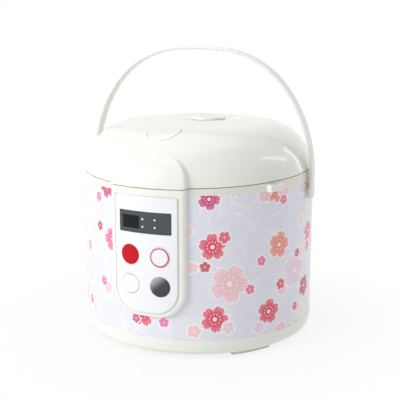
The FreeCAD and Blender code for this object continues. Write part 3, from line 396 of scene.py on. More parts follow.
def turned_marks(name):
    """Group: fine rings of a spun or faced metal, and slow clouds in its gloss."""
    group, entry, result = new_group(
        name,
        [("Place", VECTOR), ("Colour", COLOUR), ("Pitch", FLOAT), ("Roughness", FLOAT)],
        [("Colour", COLOUR), ("Roughness", FLOAT), ("Height", FLOAT)])
    cloud_scale, cloud_gloss, ring_shade, ring_gloss = 25.0, 0.1, 0.16, 0.12
    axes = split(group, entry["Place"])
    radius = vector_length(group, combine(group, axes["X"], axes["Y"], 0.0))
    section = vector_calc(group, "SCALE", combine(group, radius, axes["Z"], 0.0), scale=entry["Pitch"])
    rings = noise(group, section, 1.0)
    clouds = noise(group, entry["Place"], cloud_scale)
    shade = calc(group, "MULTIPLY_ADD", rings, ring_shade, 1.0 - ring_shade)
    feed(group, result["Colour"], vector_calc(group, "SCALE", entry["Colour"], scale=shade))
    spread = calc(group, "MULTIPLY_ADD", rings, ring_gloss, entry["Roughness"])
    feed(group, result["Roughness"], calc(group, "MULTIPLY_ADD", clouds, cloud_gloss, spread))
    feed(group, result["Height"], rings)
    return group


FIBRE_TURNS = (18, 62, 108, 151)


def paper_fibres(name):
    """Group: long thin fibres that lie in several directions, as in handmade paper."""
    group, entry, result = new_group(name, [("Place", VECTOR)], [("Fibres", FLOAT)])
    stretch, core, rim = (24.0, 260.0, 1.0), 0.004, 0.02
    patch_scale, patch_start, patch_end = 0.31, 0.46, 0.6
    total = 0.0
    for degrees in FIBRE_TURNS:
        turned = add_node(group, "ShaderNodeVectorRotate", rotation_type="Z_AXIS",
                          inputs={"Vector": entry["Place"], "Angle": math.radians(degrees)})
        drawn = vector_calc(group, "MULTIPLY", turned.outputs["Vector"], stretch)
        shifted = vector_calc(group, "ADD", drawn, (degrees, 0.0, 0.0))
        line = calc(group, "ABSOLUTE", calc(group, "SUBTRACT", noise(group, shifted, 1.0, 1.0), 0.5))
        bare = ramp_down(group, noise(group, shifted, patch_scale, 0.0), patch_start, patch_end)
        fibre = times(group, ramp_down(group, line, core, rim), inverse(group, bare))
        total = calc(group, "MAXIMUM", total, fibre)
    feed(group, result["Fibres"], total)
    return group


def blossom_scatter(name):
    """Group: five-petal blossoms, at most one in each cell of a loose grid."""
    group, entry, result = new_group(
        name,
        [("Place", VECTOR), ("Spacing", FLOAT), ("Radius", FLOAT), ("Share", FLOAT)],
        [("Petals", FLOAT), ("Border", FLOAT), ("Tone", FLOAT), ("Veins", FLOAT), ("Heart", FLOAT)])
    petals, veins, stamens, looseness, smallest = 5, 30, 10, 0.5, 0.75
    waist, notch_start, notch_depth = 0.5, 0.94, 0.1
    blur, border_start, border_end = 0.0002, 0.0009, 0.0014
    vein_start, vein_end = 0.3, 0.92
    stamen_start, stamen_end, stamen_blur, stamen_gap = 0.3, 0.42, 0.04, 0.2
    eye_start, eye_end = 0.13, 0.17
    cells_per_metre = calc(group, "DIVIDE", 1.0, entry["Spacing"])
    in_cells = vector_calc(group, "SCALE", entry["Place"], scale=cells_per_metre)
    cells = add_node(group, "ShaderNodeTexVoronoi", voronoi_dimensions="2D",
                     inputs={"Vector": in_cells, "Scale": 1.0, "Randomness": looseness}).outputs
    offset = vector_calc(group, "SUBTRACT", in_cells, cells["Position"])
    axes = split(group, vector_calc(group, "SCALE", offset, scale=entry["Spacing"]))
    chance = add_node(group, "ShaderNodeSeparateColor", inputs={"Color": cells["Color"]}).outputs
    away = vector_length(group, combine(group, axes["X"], axes["Y"], 0.0))
    bearing = calc(group, "ARCTAN2", axes["Y"], axes["X"])
    angle = calc(group, "MULTIPLY_ADD", chance["Red"], math.tau, bearing)

    def wave(count):
        return calc(group, "COSINE", times(group, angle, count))

    petal = calc(group, "ABSOLUTE", wave(petals / 2))
    lobe = calc(group, "MULTIPLY_ADD", calc(group, "SQRT", petal), 1.0 - waist, waist)
    notch = times(group, ramp_down(group, petal, 1.0, notch_start), notch_depth)
    share = calc(group, "MULTIPLY_ADD", chance["Blue"], 1.0 - smallest, smallest)
    size = times(group, entry["Radius"], share)
    rim = times(group, size, calc(group, "SUBTRACT", lobe, notch))
    gap = calc(group, "SUBTRACT", away, rim)
    shown = calc(group, "LESS_THAN", chance["Green"], entry["Share"])
    feed(group, result["Petals"], times(group, ramp_down(group, gap, -blur, blur), shown))
    border = ramp_down(group, gap, border_start, border_end)
    feed(group, result["Border"], times(group, border, shown))
    feed(group, result["Tone"], chance["Blue"])
    ray = calc(group, "MULTIPLY_ADD", wave(veins), 0.5, 0.5)
    reach = calc(group, "DIVIDE", away, size)
    fade = ramp_down(group, reach, vein_end, vein_start)
    feed(group, result["Veins"], times(group, ray, fade))
    stamen = calc(group, "GREATER_THAN", wave(stamens), stamen_gap)
    ring = band(group, reach, stamen_start, stamen_end, stamen_blur)
    eye = ramp_down(group, reach, eye_start, eye_end)
    feed(group, result["Heart"], calc(group, "MAXIMUM", times(group, ring, stamen), eye))
    return group


# Finishes

COAT_ROUGHNESS = 0.06
GRAIN_DEPTH = 0.0003
RING_DEPTH = 0.0002
BLOSSOM_SHADES = (
    linear(208, 36, 126), linear(236, 96, 160), linear(192, 26, 60), linear(236, 106, 70),
    linear(226, 58, 100), linear(240, 140, 122))
PALE_SHADES = (
    linear(248, 212, 222), linear(250, 222, 206), linear(238, 212, 234), linear(246, 198, 206))
SCATTERS = (
    {"tones": PALE_SHADES, "spacing": 0.088, "radius": 0.022, "share": 0.55, "shift": (0.031, 0.012, 0)},
    {"tones": BLOSSOM_SHADES, "spacing": 0.062, "radius": 0.0155, "share": 0.55, "shift": (0.012, 0.021, 0)},
    {"tones": PALE_SHADES, "spacing": 0.034, "radius": 0.0082, "share": 0.3, "shift": (0.2, 0.107, 0)},
    {"tones": BLOSSOM_SHADES, "spacing": 0.030, "radius": 0.0072, "share": 0.3, "shift": (0.405, 0.052, 0)})


def new_material(name="finish"):
    """Material with its tree, its Principled shader and its Object coordinates."""
    material = bpy.data.materials.new(name)
    material.use_nodes = True
    tree = material.node_tree
    place = add_node(tree, "ShaderNodeTexCoord").outputs["Object"]
    return material, tree, tree.nodes["Principled BSDF"], place


def add_bump(tree, shader, height, strength, distance):
    """Fine relief on a shader."""
    inputs = {"Height": height, "Strength": strength, "Distance": distance}
    bump = add_node(tree, "ShaderNodeBump", inputs=inputs)
    tree.links.new(bump.outputs["Normal"], shader.inputs["Normal"])


def moulded(tree, shader, place, shade, roughness, coat=0.0, gloss=0.5, drift=0.03, grain=900.0,
            relief=0.01):
    """Feed a shader with a moulded surface of one colour or of a pattern."""
    skin = place_group(tree, moulded_skin, {
        "Place": place, "Colour": shade, "Drift": drift, "Roughness": roughness, "Grain": grain})
    feed_all(tree, shader, {
        "Base Color": skin["Colour"], "Roughness": skin["Roughness"], "Coat Weight": coat,
        "Coat Roughness": COAT_ROUGHNESS, "Specular IOR Level": gloss})
    add_bump(tree, shader, skin["Height"], relief, GRAIN_DEPTH)


def plastic(shade, roughness, **values):
    """Moulded plastic or rubber of one colour."""
    material, tree, shader, place = new_material()
    moulded(tree, shader, place, opaque(shade), roughness, **values)
    return material


def metal(shade, roughness, pitch=900.0, relief=0.05):
    """Bare metal with the fine rings of turning."""
    material, tree, shader, place = new_material()
    marks = place_group(tree, turned_marks, {
        "Place": place, "Colour": opaque(shade), "Pitch": pitch, "Roughness": roughness})
    feed_all(tree, shader, {
        "Base Color": marks["Colour"], "Roughness": marks["Roughness"], "Metallic": 1.0})
    add_bump(tree, shader, marks["Height"], relief, RING_DEPTH)
    return material


def wrapped_place(tree, place, radius):
    """Place on the unrolled sleeve: the way around it and the height."""
    axes = split(tree, place)
    around = calc(tree, "ARCTAN2", axes["X"], times(tree, axes["Y"], -1.0))
    across = times(tree, around, radius)
    return combine(tree, across, axes["Z"], 0.0), across


def printed_sheet(shades):
    """Lacquered steel sheet with paper fibres and scattered blossoms, and a lap seam at the rear."""
    material, tree, shader, place = new_material()
    fibre_show, vein_show, seam_show = 0.5, 0.45, 0.6
    bare_strip, bare_end, seam_half, seam_end = 0.018, 0.0185, 0.0003, 0.0006
    coat, coat_roughness, roughness, fibre_gloss, fibre_relief = 0.15, 0.1, 0.3, 0.08, 0.06
    radius = bpy.context.scene.cooker_sizes.body_radius
    flat, across = wrapped_place(tree, place, radius)
    fibres = place_group(tree, paper_fibres, {"Place": flat})["Fibres"]
    shown = mix_colour(tree, times(tree, fibres, fibre_show), opaque(shades.sheet_white), WHITE)
    rear = calc(tree, "SUBTRACT", math.pi * radius, calc(tree, "ABSOLUTE", across))
    clear = inverse(tree, ramp_down(tree, rear, bare_strip, bare_end))
    for scatter in SCATTERS:
        marks = place_group(tree, blossom_scatter, {
            "Place": vector_calc(tree, "ADD", flat, scatter["shift"]), "Spacing": scatter["spacing"],
            "Radius": scatter["radius"], "Share": scatter["share"]})
        tint = palette(tree, marks["Tone"], scatter["tones"])
        veined = mix_colour(tree, times(tree, marks["Veins"], vein_show), tint, WHITE)
        flower = mix_colour(tree, marks["Heart"], veined, opaque(shades.blossom_heart))
        bordered = mix_colour(tree, times(tree, marks["Border"], clear), shown, WHITE)
        shown = mix_colour(tree, times(tree, marks["Petals"], clear), bordered, flower)
    seam = times(tree, ramp_down(tree, rear, seam_half, seam_end), seam_show)
    final = mix_colour(tree, seam, shown, opaque(shades.seam_grey))
    gloss = calc(tree, "MULTIPLY_ADD", fibres, fibre_gloss, roughness)
    feed_all(tree, shader, {
        "Base Color": final, "Roughness": gloss, "Coat Weight": coat, "Coat Roughness": coat_roughness})
    add_bump(tree, shader, fibres, fibre_relief, RING_DEPTH)
    return material


def window_pane(shades):
    """Tinted display window with the dark area of the readout behind it."""
    material, tree, shader, place = new_material()
    axes = split(tree, place)
    low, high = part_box("display_module")
    blur = 0.0003
    across = band(tree, axes["X"], low.x, high.x, blur)
    upward = band(tree, axes["Z"], low.z, high.z, blur)
    area = times(tree, across, upward)
    shade = mix_colour(tree, area, opaque(shades.window_grey), opaque(shades.readout_black))
    moulded(tree, shader, place, shade, roughness=0.12, gloss=0.1, drift=0.05, relief=0.005)
    return material


def from_middle(tree, place, node):
    """Way across and up from a key's middle, and the distance from it."""
    middle = node_middle(node)
    axes = split(tree, place)
    across = calc(tree, "SUBTRACT", axes["X"], middle.x)
    upward = calc(tree, "SUBTRACT", axes["Z"], middle.z)
    return across, upward, vector_length(tree, combine(tree, across, upward, 0.0))


def key_finish(node, shade_maker):
    """Glossy key whose colour is worked out from the place on its face."""
    material, tree, shader, place = new_material()
    across, upward, away = from_middle(tree, place, node)
    shade = shade_maker(tree, across, upward, away)
    moulded(tree, shader, place, shade, roughness=0.25, gloss=0.2)
    return material


def red_key(shades):
    def shade(tree, across, upward, away):
        inside, outside, blur, depth = 0.0094, 0.0104, 0.0006, 0.25
        # The darker band at the edge is painted shade.
        rim = times(tree, band(tree, away, inside, outside, blur), depth)
        return mix_colour(tree, rim, opaque(shades.key_red), opaque(shades.red_edge))
    return key_finish("key_upper_left", shade)


def ringed_key(shades):
    def shade(tree, across, upward, away):
        inside, outside, blur = 0.0084, 0.0099, 0.0003
        ring = band(tree, away, inside, outside, blur)
        return mix_colour(tree, ring, opaque(shades.key_white), opaque(shades.key_red))
    return key_finish("key_upper_right", shade)


def crescent_key(shades):
    def shade(tree, across, upward, away):
        inside, outside, blur, depth = 0.0093, 0.0102, 0.0004, 0.7
        tip, root = 0.0083, 0.0094
        # The grey crescents at the top and bottom of the edge are painted shade.
        rim = times(tree, band(tree, away, inside, outside, blur), depth)
        ends = inverse(tree, ramp_down(tree, calc(tree, "ABSOLUTE", upward), tip, root))
        crescents = times(tree, rim, ends)
        return mix_colour(tree, crescents, opaque(shades.key_white), opaque(shades.crescent_grey))
    return key_finish("key_lower_left", shade)


# Dark grey key with a painted highlight toward its upper left.
def graded_key(shades):
    def shade(tree, across, upward, away):
        lean, dark_end, pale_end = 0.8, -0.001, 0.014
        slope = calc(tree, "SUBTRACT", upward, times(tree, across, lean))
        # The pale share, toward the upper left, is a painted highlight.
        pale = inverse(tree, ramp_down(tree, slope, dark_end, pale_end))
        return mix_colour(tree, pale, opaque(shades.key_grey), opaque(shades.key_silver))
    return key_finish("key_lower_right", shade)


def galvanised_sheet(shades):
    """Zinc coated sheet with its spangle."""
    material, tree, shader, place = new_material()
    roughness, roughness_range = 0.3, 0.2
    cells = add_node(tree, "ShaderNodeTexVoronoi", inputs={"Vector": place, "Scale": 160.0}).outputs
    tone = add_node(tree, "ShaderNodeSeparateColor", inputs={"Color": cells["Color"]}).outputs["Red"]
    shade = mix_colour(tree, tone, opaque(shades.zinc_dark), opaque(shades.zinc_pale))
    gloss = calc(tree, "MULTIPLY_ADD", tone, roughness_range, roughness)
    feed_all(tree, shader, {"Base Color": shade, "Roughness": gloss, "Metallic": 1.0})
    return material


def board_green(shades):
    """Circuit board with copper runs under its lacquer."""
    material, tree, shader, place = new_material()
    runs = add_node(tree, "ShaderNodeTexBrick", inputs={
        "Vector": place, "Scale": 60.0, "Mortar Size": 0.03, "Color1": opaque(shades.board_dark),
        "Color2": opaque(shades.board_pale), "Mortar": opaque(shades.board_runs)})
    moulded(tree, shader, place, runs.outputs["Color"], roughness=0.3, coat=0.2, drift=0.1)
    return material


def plain(maker, shade, **values):
    """Maker of a finish in one of the colours above."""
    return lambda shades: maker(getattr(shades, shade), **values)


FINISHES = {
    "cream_plastic": plain(plastic, "cream", roughness=0.16, coat=0.3),
    # The handle's cream is darker than the lid's: painted shade.
    "handle_plastic": plain(plastic, "handle_cream", roughness=0.2, coat=0.2),
    "collar_plastic": plain(plastic, "collar_cream", roughness=0.22, coat=0.15),
    "foot_rubber": plain(plastic, "foot_cream", roughness=0.5, drift=0.08, grain=1500.0, relief=0.1),
    "film_white": plain(plastic, "film_white", roughness=0.3, coat=0.1, drift=0.015),
    "pot_aluminium": plain(metal, "pot_silver", roughness=0.26),
    "cast_aluminium": plain(metal, "cast_silver", roughness=0.42, pitch=500.0, relief=0.2),
    "bright_steel": plain(metal, "steel_silver", roughness=0.2, pitch=1600.0),
    "pin_brass": plain(metal, "brass_yellow", roughness=0.24, pitch=1200.0),
    "black_plastic": plain(plastic, "inlet_black", roughness=0.4, drift=0.15, grain=1600.0, relief=0.15),
    "lead_insulation": plain(plastic, "lead_white", roughness=0.42, drift=0.08, grain=700.0, relief=0.1),
    "readout_black": plain(plastic, "readout_black", roughness=0.12, coat=0.3, drift=0.1),
    "lens_white": plain(plastic, "lens_white", roughness=0.18, coat=0.1, gloss=0.1, drift=0.02),
    "inner_plastic": plain(plastic, "inner_white", roughness=0.34, drift=0.05, grain=1300.0, relief=0.1),
    "gasket_silicone": plain(plastic, "gasket_grey", roughness=0.5, drift=0.06, grain=500.0, relief=0.1),
    "printed_sheet": printed_sheet, "window_pane": window_pane, "galvanised_sheet": galvanised_sheet,
    "board_green": board_green, "red_key": red_key, "ringed_key": ringed_key,
    "crescent_key": crescent_key, "graded_key": graded_key}
SLOT_FINISHES = {"panel_film": "film_white", "window_grey": "window_pane"}
NODE_FINISHES = {
    "collar": "collar_plastic", "carry_handle": "handle_plastic", "key_upper_left": "red_key",
    "key_upper_right": "ringed_key", "key_lower_left": "crescent_key", "key_lower_right": "graded_key"}


def node_slot(node):
    """Material slot that the record gives a solid."""
    return next(part["material_slot"] for part in frame["record"]["subparts"] if part["node"] == node)


def finish_of(node):
    """Material of a solid, made on its first use. Most slots are named like their finish."""
    slot = node_slot(node)
    finish = NODE_FINISHES.get(node) or SLOT_FINISHES.get(slot, slot)
    name = "cooker_finish_" + finish
    if name not in bpy.data.materials:
        FINISHES[finish](bpy.context.scene.cooker_colours).name = name
    return bpy.data.materials[name]


# Meshes

def link_piece(name, mesh, node):
    """Object from a finished mesh that stands for a solid and rides on its body."""
    mesh.shade_smooth()
    mesh.set_sharp_from_angle(angle=SHARP_ANGLE)
    mesh.materials.clear()
    mesh.materials.append(finish_of(node))
    piece = bpy.data.objects.new(name, mesh)
    bpy.context.scene.collection.objects.link(piece)
    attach(piece, frame["nodes"][node]["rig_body"])
    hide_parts(node)
    return piece


def mesh_from(bm, name):
    """Mesh from a bmesh, with doubles merged and faces turned outwards."""
    bmesh.ops.remove_doubles(bm, verts=bm.verts, dist=MERGE_DISTANCE)
    bmesh.ops.recalc_face_normals(bm, faces=bm.faces)
    return plain_mesh(bm, name)


def plain_mesh(bm, name):
    """Mesh from a bmesh as it is, but without the fixed normals that a solid's mesh brings along."""
    mesh = bpy.data.meshes.new(name)
    bm.to_mesh(mesh)
    bm.free()
    fixed_normals = mesh.attributes.get("custom_normal")
    if fixed_normals:
        mesh.attributes.remove(fixed_normals)
    return mesh


def smooth_copy(node):
    """Shown copy of a solid whose merged mesh takes smooth shading."""
    bm = bmesh.new()
    bm.from_mesh(frame["nodes"][node].data)
    bmesh.ops.remove_doubles(bm, verts=bm.verts, dist=MERGE_DISTANCE)
    return link_piece(node + "_skin", plain_mesh(bm, node + "_skin"), node)


def combined(base, tool, operation):
    """Mesh of two closed meshes under a Boolean."""
    held, cutter = (bpy.data.objects.new("part", mesh) for mesh in (base, tool))
    for part in (held, cutter):
        bpy.context.scene.collection.objects.link(part)
    boolean = held.modifiers.new("combined", "BOOLEAN")
    boolean.operation = operation
    boolean.object = cutter
    bpy.context.view_layer.update()
    shaped = held.evaluated_get(bpy.context.evaluated_depsgraph_get())
    mesh = bpy.data.meshes.new_from_object(shaped)
    for part in (held, cutter):
        bpy.data.objects.remove(part)
    return mesh


def arc(centre, radius, start, end, steps):
    """Points of an arc in a flat plane, from a start to an end angle in degrees."""
    x, y = centre
    angles = [math.radians(start + (end - start) * step / steps) for step in range(steps + 1)]
    return [(x + radius * math.cos(angle), y + radius * math.sin(angle)) for angle in angles]


def rounded_outline(low, high, low_corner, high_corner, grow=0.0):
    """Outline with round corners between two corner points of a flat plane, grown by a margin."""
    points = []
    for quarter, (right, upper) in enumerate(((True, False), (True, True), (False, True), (False, False))):
        corner = high_corner if upper else low_corner
        across = high[0] - corner if right else low[0] + corner
        upward = high[1] - corner if upper else low[1] + corner
        start = 90 * quarter - 90
        points += arc((across, upward), corner + grow, start, start + 90, CORNER_STEPS)
    return points


def circle(x, z, radius):
    """Points of a circle as seen from the front."""
    return arc((x, z), radius, 0, 360, CIRCLE_STEPS)[:-1]


def edges_in(items):
    """Edges among the items that an operator gives back."""
    return [item for item in items if isinstance(item, bmesh.types.BMEdge)]


def slice_through(bm, point, direction, **options):
    """Cut all faces along a plane."""
    return bmesh.ops.bisect_plane(bm, geom=bm.verts[:] + bm.edges[:] + bm.faces[:], dist=MERGE_DISTANCE,
                                  plane_co=point, plane_no=direction, **options)


def closed_ring(bm, points):
    """Closed ring of edges through a row of points."""
    corners = [bm.verts.new(point) for point in points]
    return [bm.edges.new(pair) for pair in zip(corners, corners[1:] + corners[:1])]


def add_ring(bm, outline, depth):
    """Ring that is seen from the front, at a distance ahead of the body's axis."""
    return closed_ring(bm, [(x, -depth, z) for x, z in outline])


def add_wall(bm, rings):
    """Rings bridged one to the next, with the first and the last given back."""
    loops = [add_ring(bm, outline, depth) for outline, depth in rings]
    for first, second in zip(loops, loops[1:]):
        bmesh.ops.bridge_loops(bm, edges=first + second)
    return loops[0], loops[-1]


def rounded_rim(outline_at, back, front, edge):
    """Rings of a rim that rises from the back and turns over into the front face."""
    rings = [(outline_at(0.0), back)]
    for step in range(EDGE_STEPS + 1):
        angle = math.radians(90 * step / EDGE_STEPS)
        rings.append((outline_at(edge * (math.cos(angle) - 1)), front - edge * (1 - math.sin(angle))))
    return rings


def bend(bm, strip):
    """Cut flat work into narrow upright strips and wrap it around the body's axis."""
    half = max(vert.co.x for vert in bm.verts)
    count = math.ceil(half / strip)
    for index in range(-count, count + 1):
        slice_through(bm, (index * strip, 0, 0), (1, 0, 0))
    for vert in bm.verts:
        vert.co.y = -math.sqrt(vert.co.y ** 2 - vert.co.x ** 2)


def panel_sheet(rings, holes, back, front):
    """Closed sheet with a rim and holes through it, still flat."""
    bm = bmesh.new()
    behind, ahead = add_wall(bm, rings)
    for hole in holes:
        hole_behind, hole_ahead = add_wall(bm, [(hole, back), (hole, front)])
        behind = behind + hole_behind
        ahead = ahead + hole_ahead
    for edges in (behind, ahead):
        bmesh.ops.triangle_fill(bm, edges=edges, use_beauty=True)
    return bm


def flat_corners(node):
    """Lowest and highest corner of a solid as seen from the front."""
    low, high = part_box(node)
    return (low.x, low.z), (high.x, high.z)


def key_circle(sizes, node, grow, share=1.0):
    """Outline of a key's cap without its hidden flange, grown by a margin and scaled by a share."""
    middle = node_middle(node)
    radius = node_high(node).x - middle.x - sizes.key_flange
    return circle(middle.x, middle.z, (radius + grow) * share)


KEYS = ("key_upper_left", "key_upper_right", "key_lower_left", "key_lower_right")


class COOKER_OT_body(bpy.types.Operator):
    """Printed sleeve, collar, base, feet and the fittings on them"""

    bl_idname = "cooker.body"
    bl_label = "Body"

    def execute(self, context):
        sizes = context.scene.cooker_sizes
        link_piece("sleeve_print", sleeve_mesh(sizes), "sleeve")
        for node in ("collar", "base_tray", "feet", "spatula_holder", "power_inlet", "handle_washers"):
            smooth_copy(node)
        return {"FINISHED"}


def sleeve_mesh(sizes):
    """Rolled sheet with its openings for the panel and the power inlet."""
    low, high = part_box("sleeve")
    bm = bmesh.new()
    ends = [bm.verts.new((0.0, sizes.body_radius, level)) for level in (low.z, high.z)]
    edge = bm.edges.new(ends)
    bmesh.ops.spin(bm, geom=ends + [edge], cent=(0, 0, 0), axis=(0, 0, 1), angle=math.tau,
                   steps=ROUND_STEPS, use_merge=True)
    cut_opening(bm, sizes.opening_half_width, sizes.opening_bottom, sizes.opening_top, FRONT)
    level = node_middle("inlet_pins").z
    half_height = sizes.inlet_half_height + sizes.fit
    cut_opening(bm, sizes.inlet_half_width + sizes.fit, level - half_height, level + half_height, REAR)
    bmesh.ops.remove_doubles(bm, verts=bm.verts, dist=MERGE_DISTANCE)
    bmesh.ops.recalc_face_normals(bm, faces=bm.faces)
    bmesh.ops.solidify(bm, geom=bm.faces[:], thickness=sizes.sheet)
    return plain_mesh(bm, "sleeve_print")


def cut_opening(bm, half_width, bottom, top, side):
    """Take a rectangle out of the rolled sheet, at its front or its rear."""
    for place in (-half_width, half_width):
        slice_through(bm, (place, 0, 0), (1, 0, 0))
    for level in (bottom, top):
        slice_through(bm, (0, 0, level), (0, 0, 1))
    inside = []
    for face in bm.faces:
        middle = face.calc_center_median()
        if abs(middle.x) < half_width and bottom < middle.z < top and middle.y * side > 0:
            inside.append(face)
    bmesh.ops.delete(bm, geom=inside, context="FACES")


class COOKER_OT_lid(bpy.types.Operator):
    """Domed lid with its button, vent cap and underside"""

    bl_idname = "cooker.lid"
    bl_label = "Lid"

    def execute(self, context):
        for node in ("lid_cover", "release_button", "vent_cap", "lid_liner", "inner_lid_plate",
                     "lid_gasket", "vent_pipe", "latch_lever"):
            smooth_copy(node)
        return {"FINISHED"}


class COOKER_OT_handle(bpy.types.Operator):
    """Carrying handle"""

    bl_idname = "cooker.handle"
    bl_label = "Handle"

    def execute(self, context):
        sizes = context.scene.cooker_sizes
        mesh = strap_mesh(sizes)
        for side in (-1, 1):
            mesh = combined(mesh, pad_mesh(sizes, side), "UNION")
        link_piece("carry_handle_strap", mesh, "carry_handle")
        return {"FINISHED"}


def strap_mesh(sizes):
    """Strap of one rounded section, led up the arm, around five arcs and down again."""
    reach = node_high("carry_handle").x
    pivot = joint_place("handle_swing").z
    start = pivot + sizes.handle_arm
    side, corner, top = sizes.handle_side, sizes.handle_corner, sizes.handle_top
    side_turn = sizes.handle_side_turn
    side_centre = Vector((reach - side, 0, start))
    lean = Vector((math.cos(side_turn), 0, math.sin(side_turn)))
    corner_centre = side_centre + lean * (side - corner)
    steepest = math.acos(corner_centre.x / (top - corner))
    top_centre = Vector((0, 0, corner_centre.z - (top - corner) * math.sin(steepest)))
    flip = Vector((-1, 1, 1))
    arcs = (
        (side_centre, side_turn), (corner_centre, steepest - side_turn),
        (top_centre, math.pi - 2 * steepest),
        (corner_centre * flip, steepest - side_turn), (side_centre * flip, side_turn))
    half = sizes.handle_width / 2
    section = rounded_outline((reach - sizes.handle_thickness, -half), (reach, half),
                              sizes.handle_edge, sizes.handle_edge)
    bm = bmesh.new()
    first = closed_ring(bm, [(x, y, pivot) for x, y in section])
    last = drawn_out(bm, first, sizes.handle_arm)
    for centre, angle in arcs:
        verts = list({vert for edge in last for vert in edge.verts})
        swept = bmesh.ops.spin(bm, geom=verts + last, cent=centre, axis=(0, -1, 0), angle=angle,
                               steps=max(FEWEST_ARC_STEPS, round(math.degrees(angle))))
        last = edges_in(swept["geom_last"])
    last = drawn_out(bm, last, -sizes.handle_arm)
    for edges in (first, last):
        bmesh.ops.edgeloop_fill(bm, edges=edges)
    return mesh_from(bm, "strap")


def drawn_out(bm, edges, rise):
    """Extrude a ring of edges straight up or down and give back its end."""
    grown = bmesh.ops.extrude_edge_only(bm, edges=edges)["geom"]
    fresh = [item for item in grown if isinstance(item, bmesh.types.BMVert)]
    bmesh.ops.translate(bm, vec=(0, 0, rise), verts=fresh)
    return [edge for edge in edges_in(grown) if all(vert in fresh for vert in edge.verts)]


def pad_mesh(sizes, side):
    """Round pad at the handle's pivot."""
    pivot = joint_place("handle_swing").z
    outer, radius, _ = node_high("carry_handle")
    inner = outer - sizes.handle_thickness
    edge = sizes.handle_edge
    profile = [(inner, 0.0)]
    profile += arc((inner + edge, radius - edge), edge, 180, 90, EDGE_STEPS)
    profile += arc((outer - edge, radius - edge), edge, 90, 0, EDGE_STEPS)
    profile.append((outer, 0.0))
    bm = bmesh.new()
    points = [bm.verts.new((side * x, 0.0, pivot + away)) for x, away in profile]
    edges = [bm.edges.new(pair) for pair in zip(points, points[1:])]
    bmesh.ops.spin(bm, geom=points + edges, cent=(0, 0, pivot), axis=(1, 0, 0), angle=math.tau,
                   steps=CIRCLE_STEPS, use_merge=True)
    return mesh_from(bm, "pad")


class COOKER_OT_panel(bpy.types.Operator):
    """Control panel: bezel, film, display window and lamps"""

    bl_idname = "cooker.panel"
    bl_label = "Panel"

    def execute(self, context):
        sizes = context.scene.cooker_sizes
        link_piece("panel_bezel_frame", bezel_mesh(sizes), "panel_bezel")
        link_piece("panel_film", film_mesh(sizes), "panel_plate")
        link_piece("display_pane", window_mesh(sizes), "display_window")
        smooth_copy("indicator_lenses")
        return {"FINISHED"}


def film_outline(sizes, grow):
    """Outline of the panel's film, grown by a margin."""
    low, high = flat_corners("panel_plate")
    return rounded_outline(low, high, sizes.film_corner, sizes.film_top_corner, grow)


def window_outline(sizes, grow):
    """Outline of the display window, grown by a margin."""
    low, high = flat_corners("display_window")
    return rounded_outline(low, high, sizes.window_corner, sizes.window_corner, grow)


def bezel_mesh(sizes):
    """Frame around the film, with its pocket, cut off along the tilted seam."""
    low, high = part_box("panel_bezel")
    front = -low.y
    back = sizes.body_radius + sizes.fit
    floor = -node_low("panel_plate").y - sizes.film_thickness
    above = high.z + 3 * sizes.bezel_edge
    cut_off_corner = 2 * sizes.bezel_edge

    def outline(grow):
        return rounded_outline((low.x, low.z), (high.x, above), sizes.bezel_corner, cut_off_corner, grow)

    bm = bmesh.new()
    behind, ahead = add_wall(bm, rounded_rim(outline, back, front, sizes.bezel_edge))
    pocket = film_outline(sizes, sizes.groove)
    mouth, bottom = add_wall(bm, [(pocket, front), (pocket, floor)])
    for edges in (behind, ahead + mouth, bottom):
        bmesh.ops.triangle_fill(bm, edges=edges, use_beauty=True)
    bend(bm, sizes.strip)
    lean = Vector((0, -math.sin(sizes.seam_tilt), math.cos(sizes.seam_tilt)))
    cut = slice_through(bm, (0, 0, sizes.seam_level), lean, clear_outer=True)
    bmesh.ops.triangle_fill(bm, edges=edges_in(cut["geom_cut"]), use_beauty=True)
    return mesh_from(bm, "panel_bezel_frame")


def film_mesh(sizes):
    """Film on its carrier, with openings for the window and the keys."""
    front = -node_low("panel_plate").y
    back = front - sizes.film_thickness
    holes = [window_outline(sizes, sizes.fit)]
    holes += [key_circle(sizes, node, sizes.key_gap) for node in KEYS]
    rim = rounded_rim(lambda grow: film_outline(sizes, grow), back, front, sizes.film_edge)
    bm = panel_sheet(rim, holes, back, front)
    bend(bm, sizes.strip)
    return mesh_from(bm, "panel_film")


def window_mesh(sizes):
    """Display window with a rounded edge."""
    front = -node_low("display_window").y
    back = front - sizes.window_thickness
    rim = rounded_rim(lambda grow: window_outline(sizes, grow), back, front, sizes.window_edge)
    bm = panel_sheet(rim, [], back, front)
    bend(bm, sizes.strip)
    return mesh_from(bm, "display_pane")


class COOKER_OT_keys(bpy.types.Operator):
    """Four push keys"""

    bl_idname = "cooker.keys"
    bl_label = "Keys"

    def execute(self, context):
        sizes = context.scene.cooker_sizes
        for node in KEYS:
            link_piece(node + "_cap", key_mesh(sizes, node), node)
        return {"FINISHED"}


def key_mesh(sizes, node):
    """Round cap with a rolled edge and a slightly crowned face."""
    film = -node_low("panel_plate").y
    shoulder = film + sizes.key_rise - sizes.key_crown
    back = film - sizes.film_thickness / 2
    rings = rounded_rim(lambda grow: key_circle(sizes, node, grow), back, shoulder, sizes.key_edge)
    for index in range(1, CROWN_RINGS):
        share = 1 - index / CROWN_RINGS
        rise = sizes.key_crown * (1 - share ** 2)
        rings.append((key_circle(sizes, node, -sizes.key_edge, share), shoulder + rise))
    bm = bmesh.new()
    behind, ahead = add_wall(bm, rings)
    for edges in (behind, ahead):
        bmesh.ops.edgeloop_fill(bm, edges=edges)
    bend(bm, sizes.strip)
    return mesh_from(bm, node + "_cap")


SPRUNG = {"button_spring": "release_button_press", "thermostat_spring": "thermostat_plunge"}


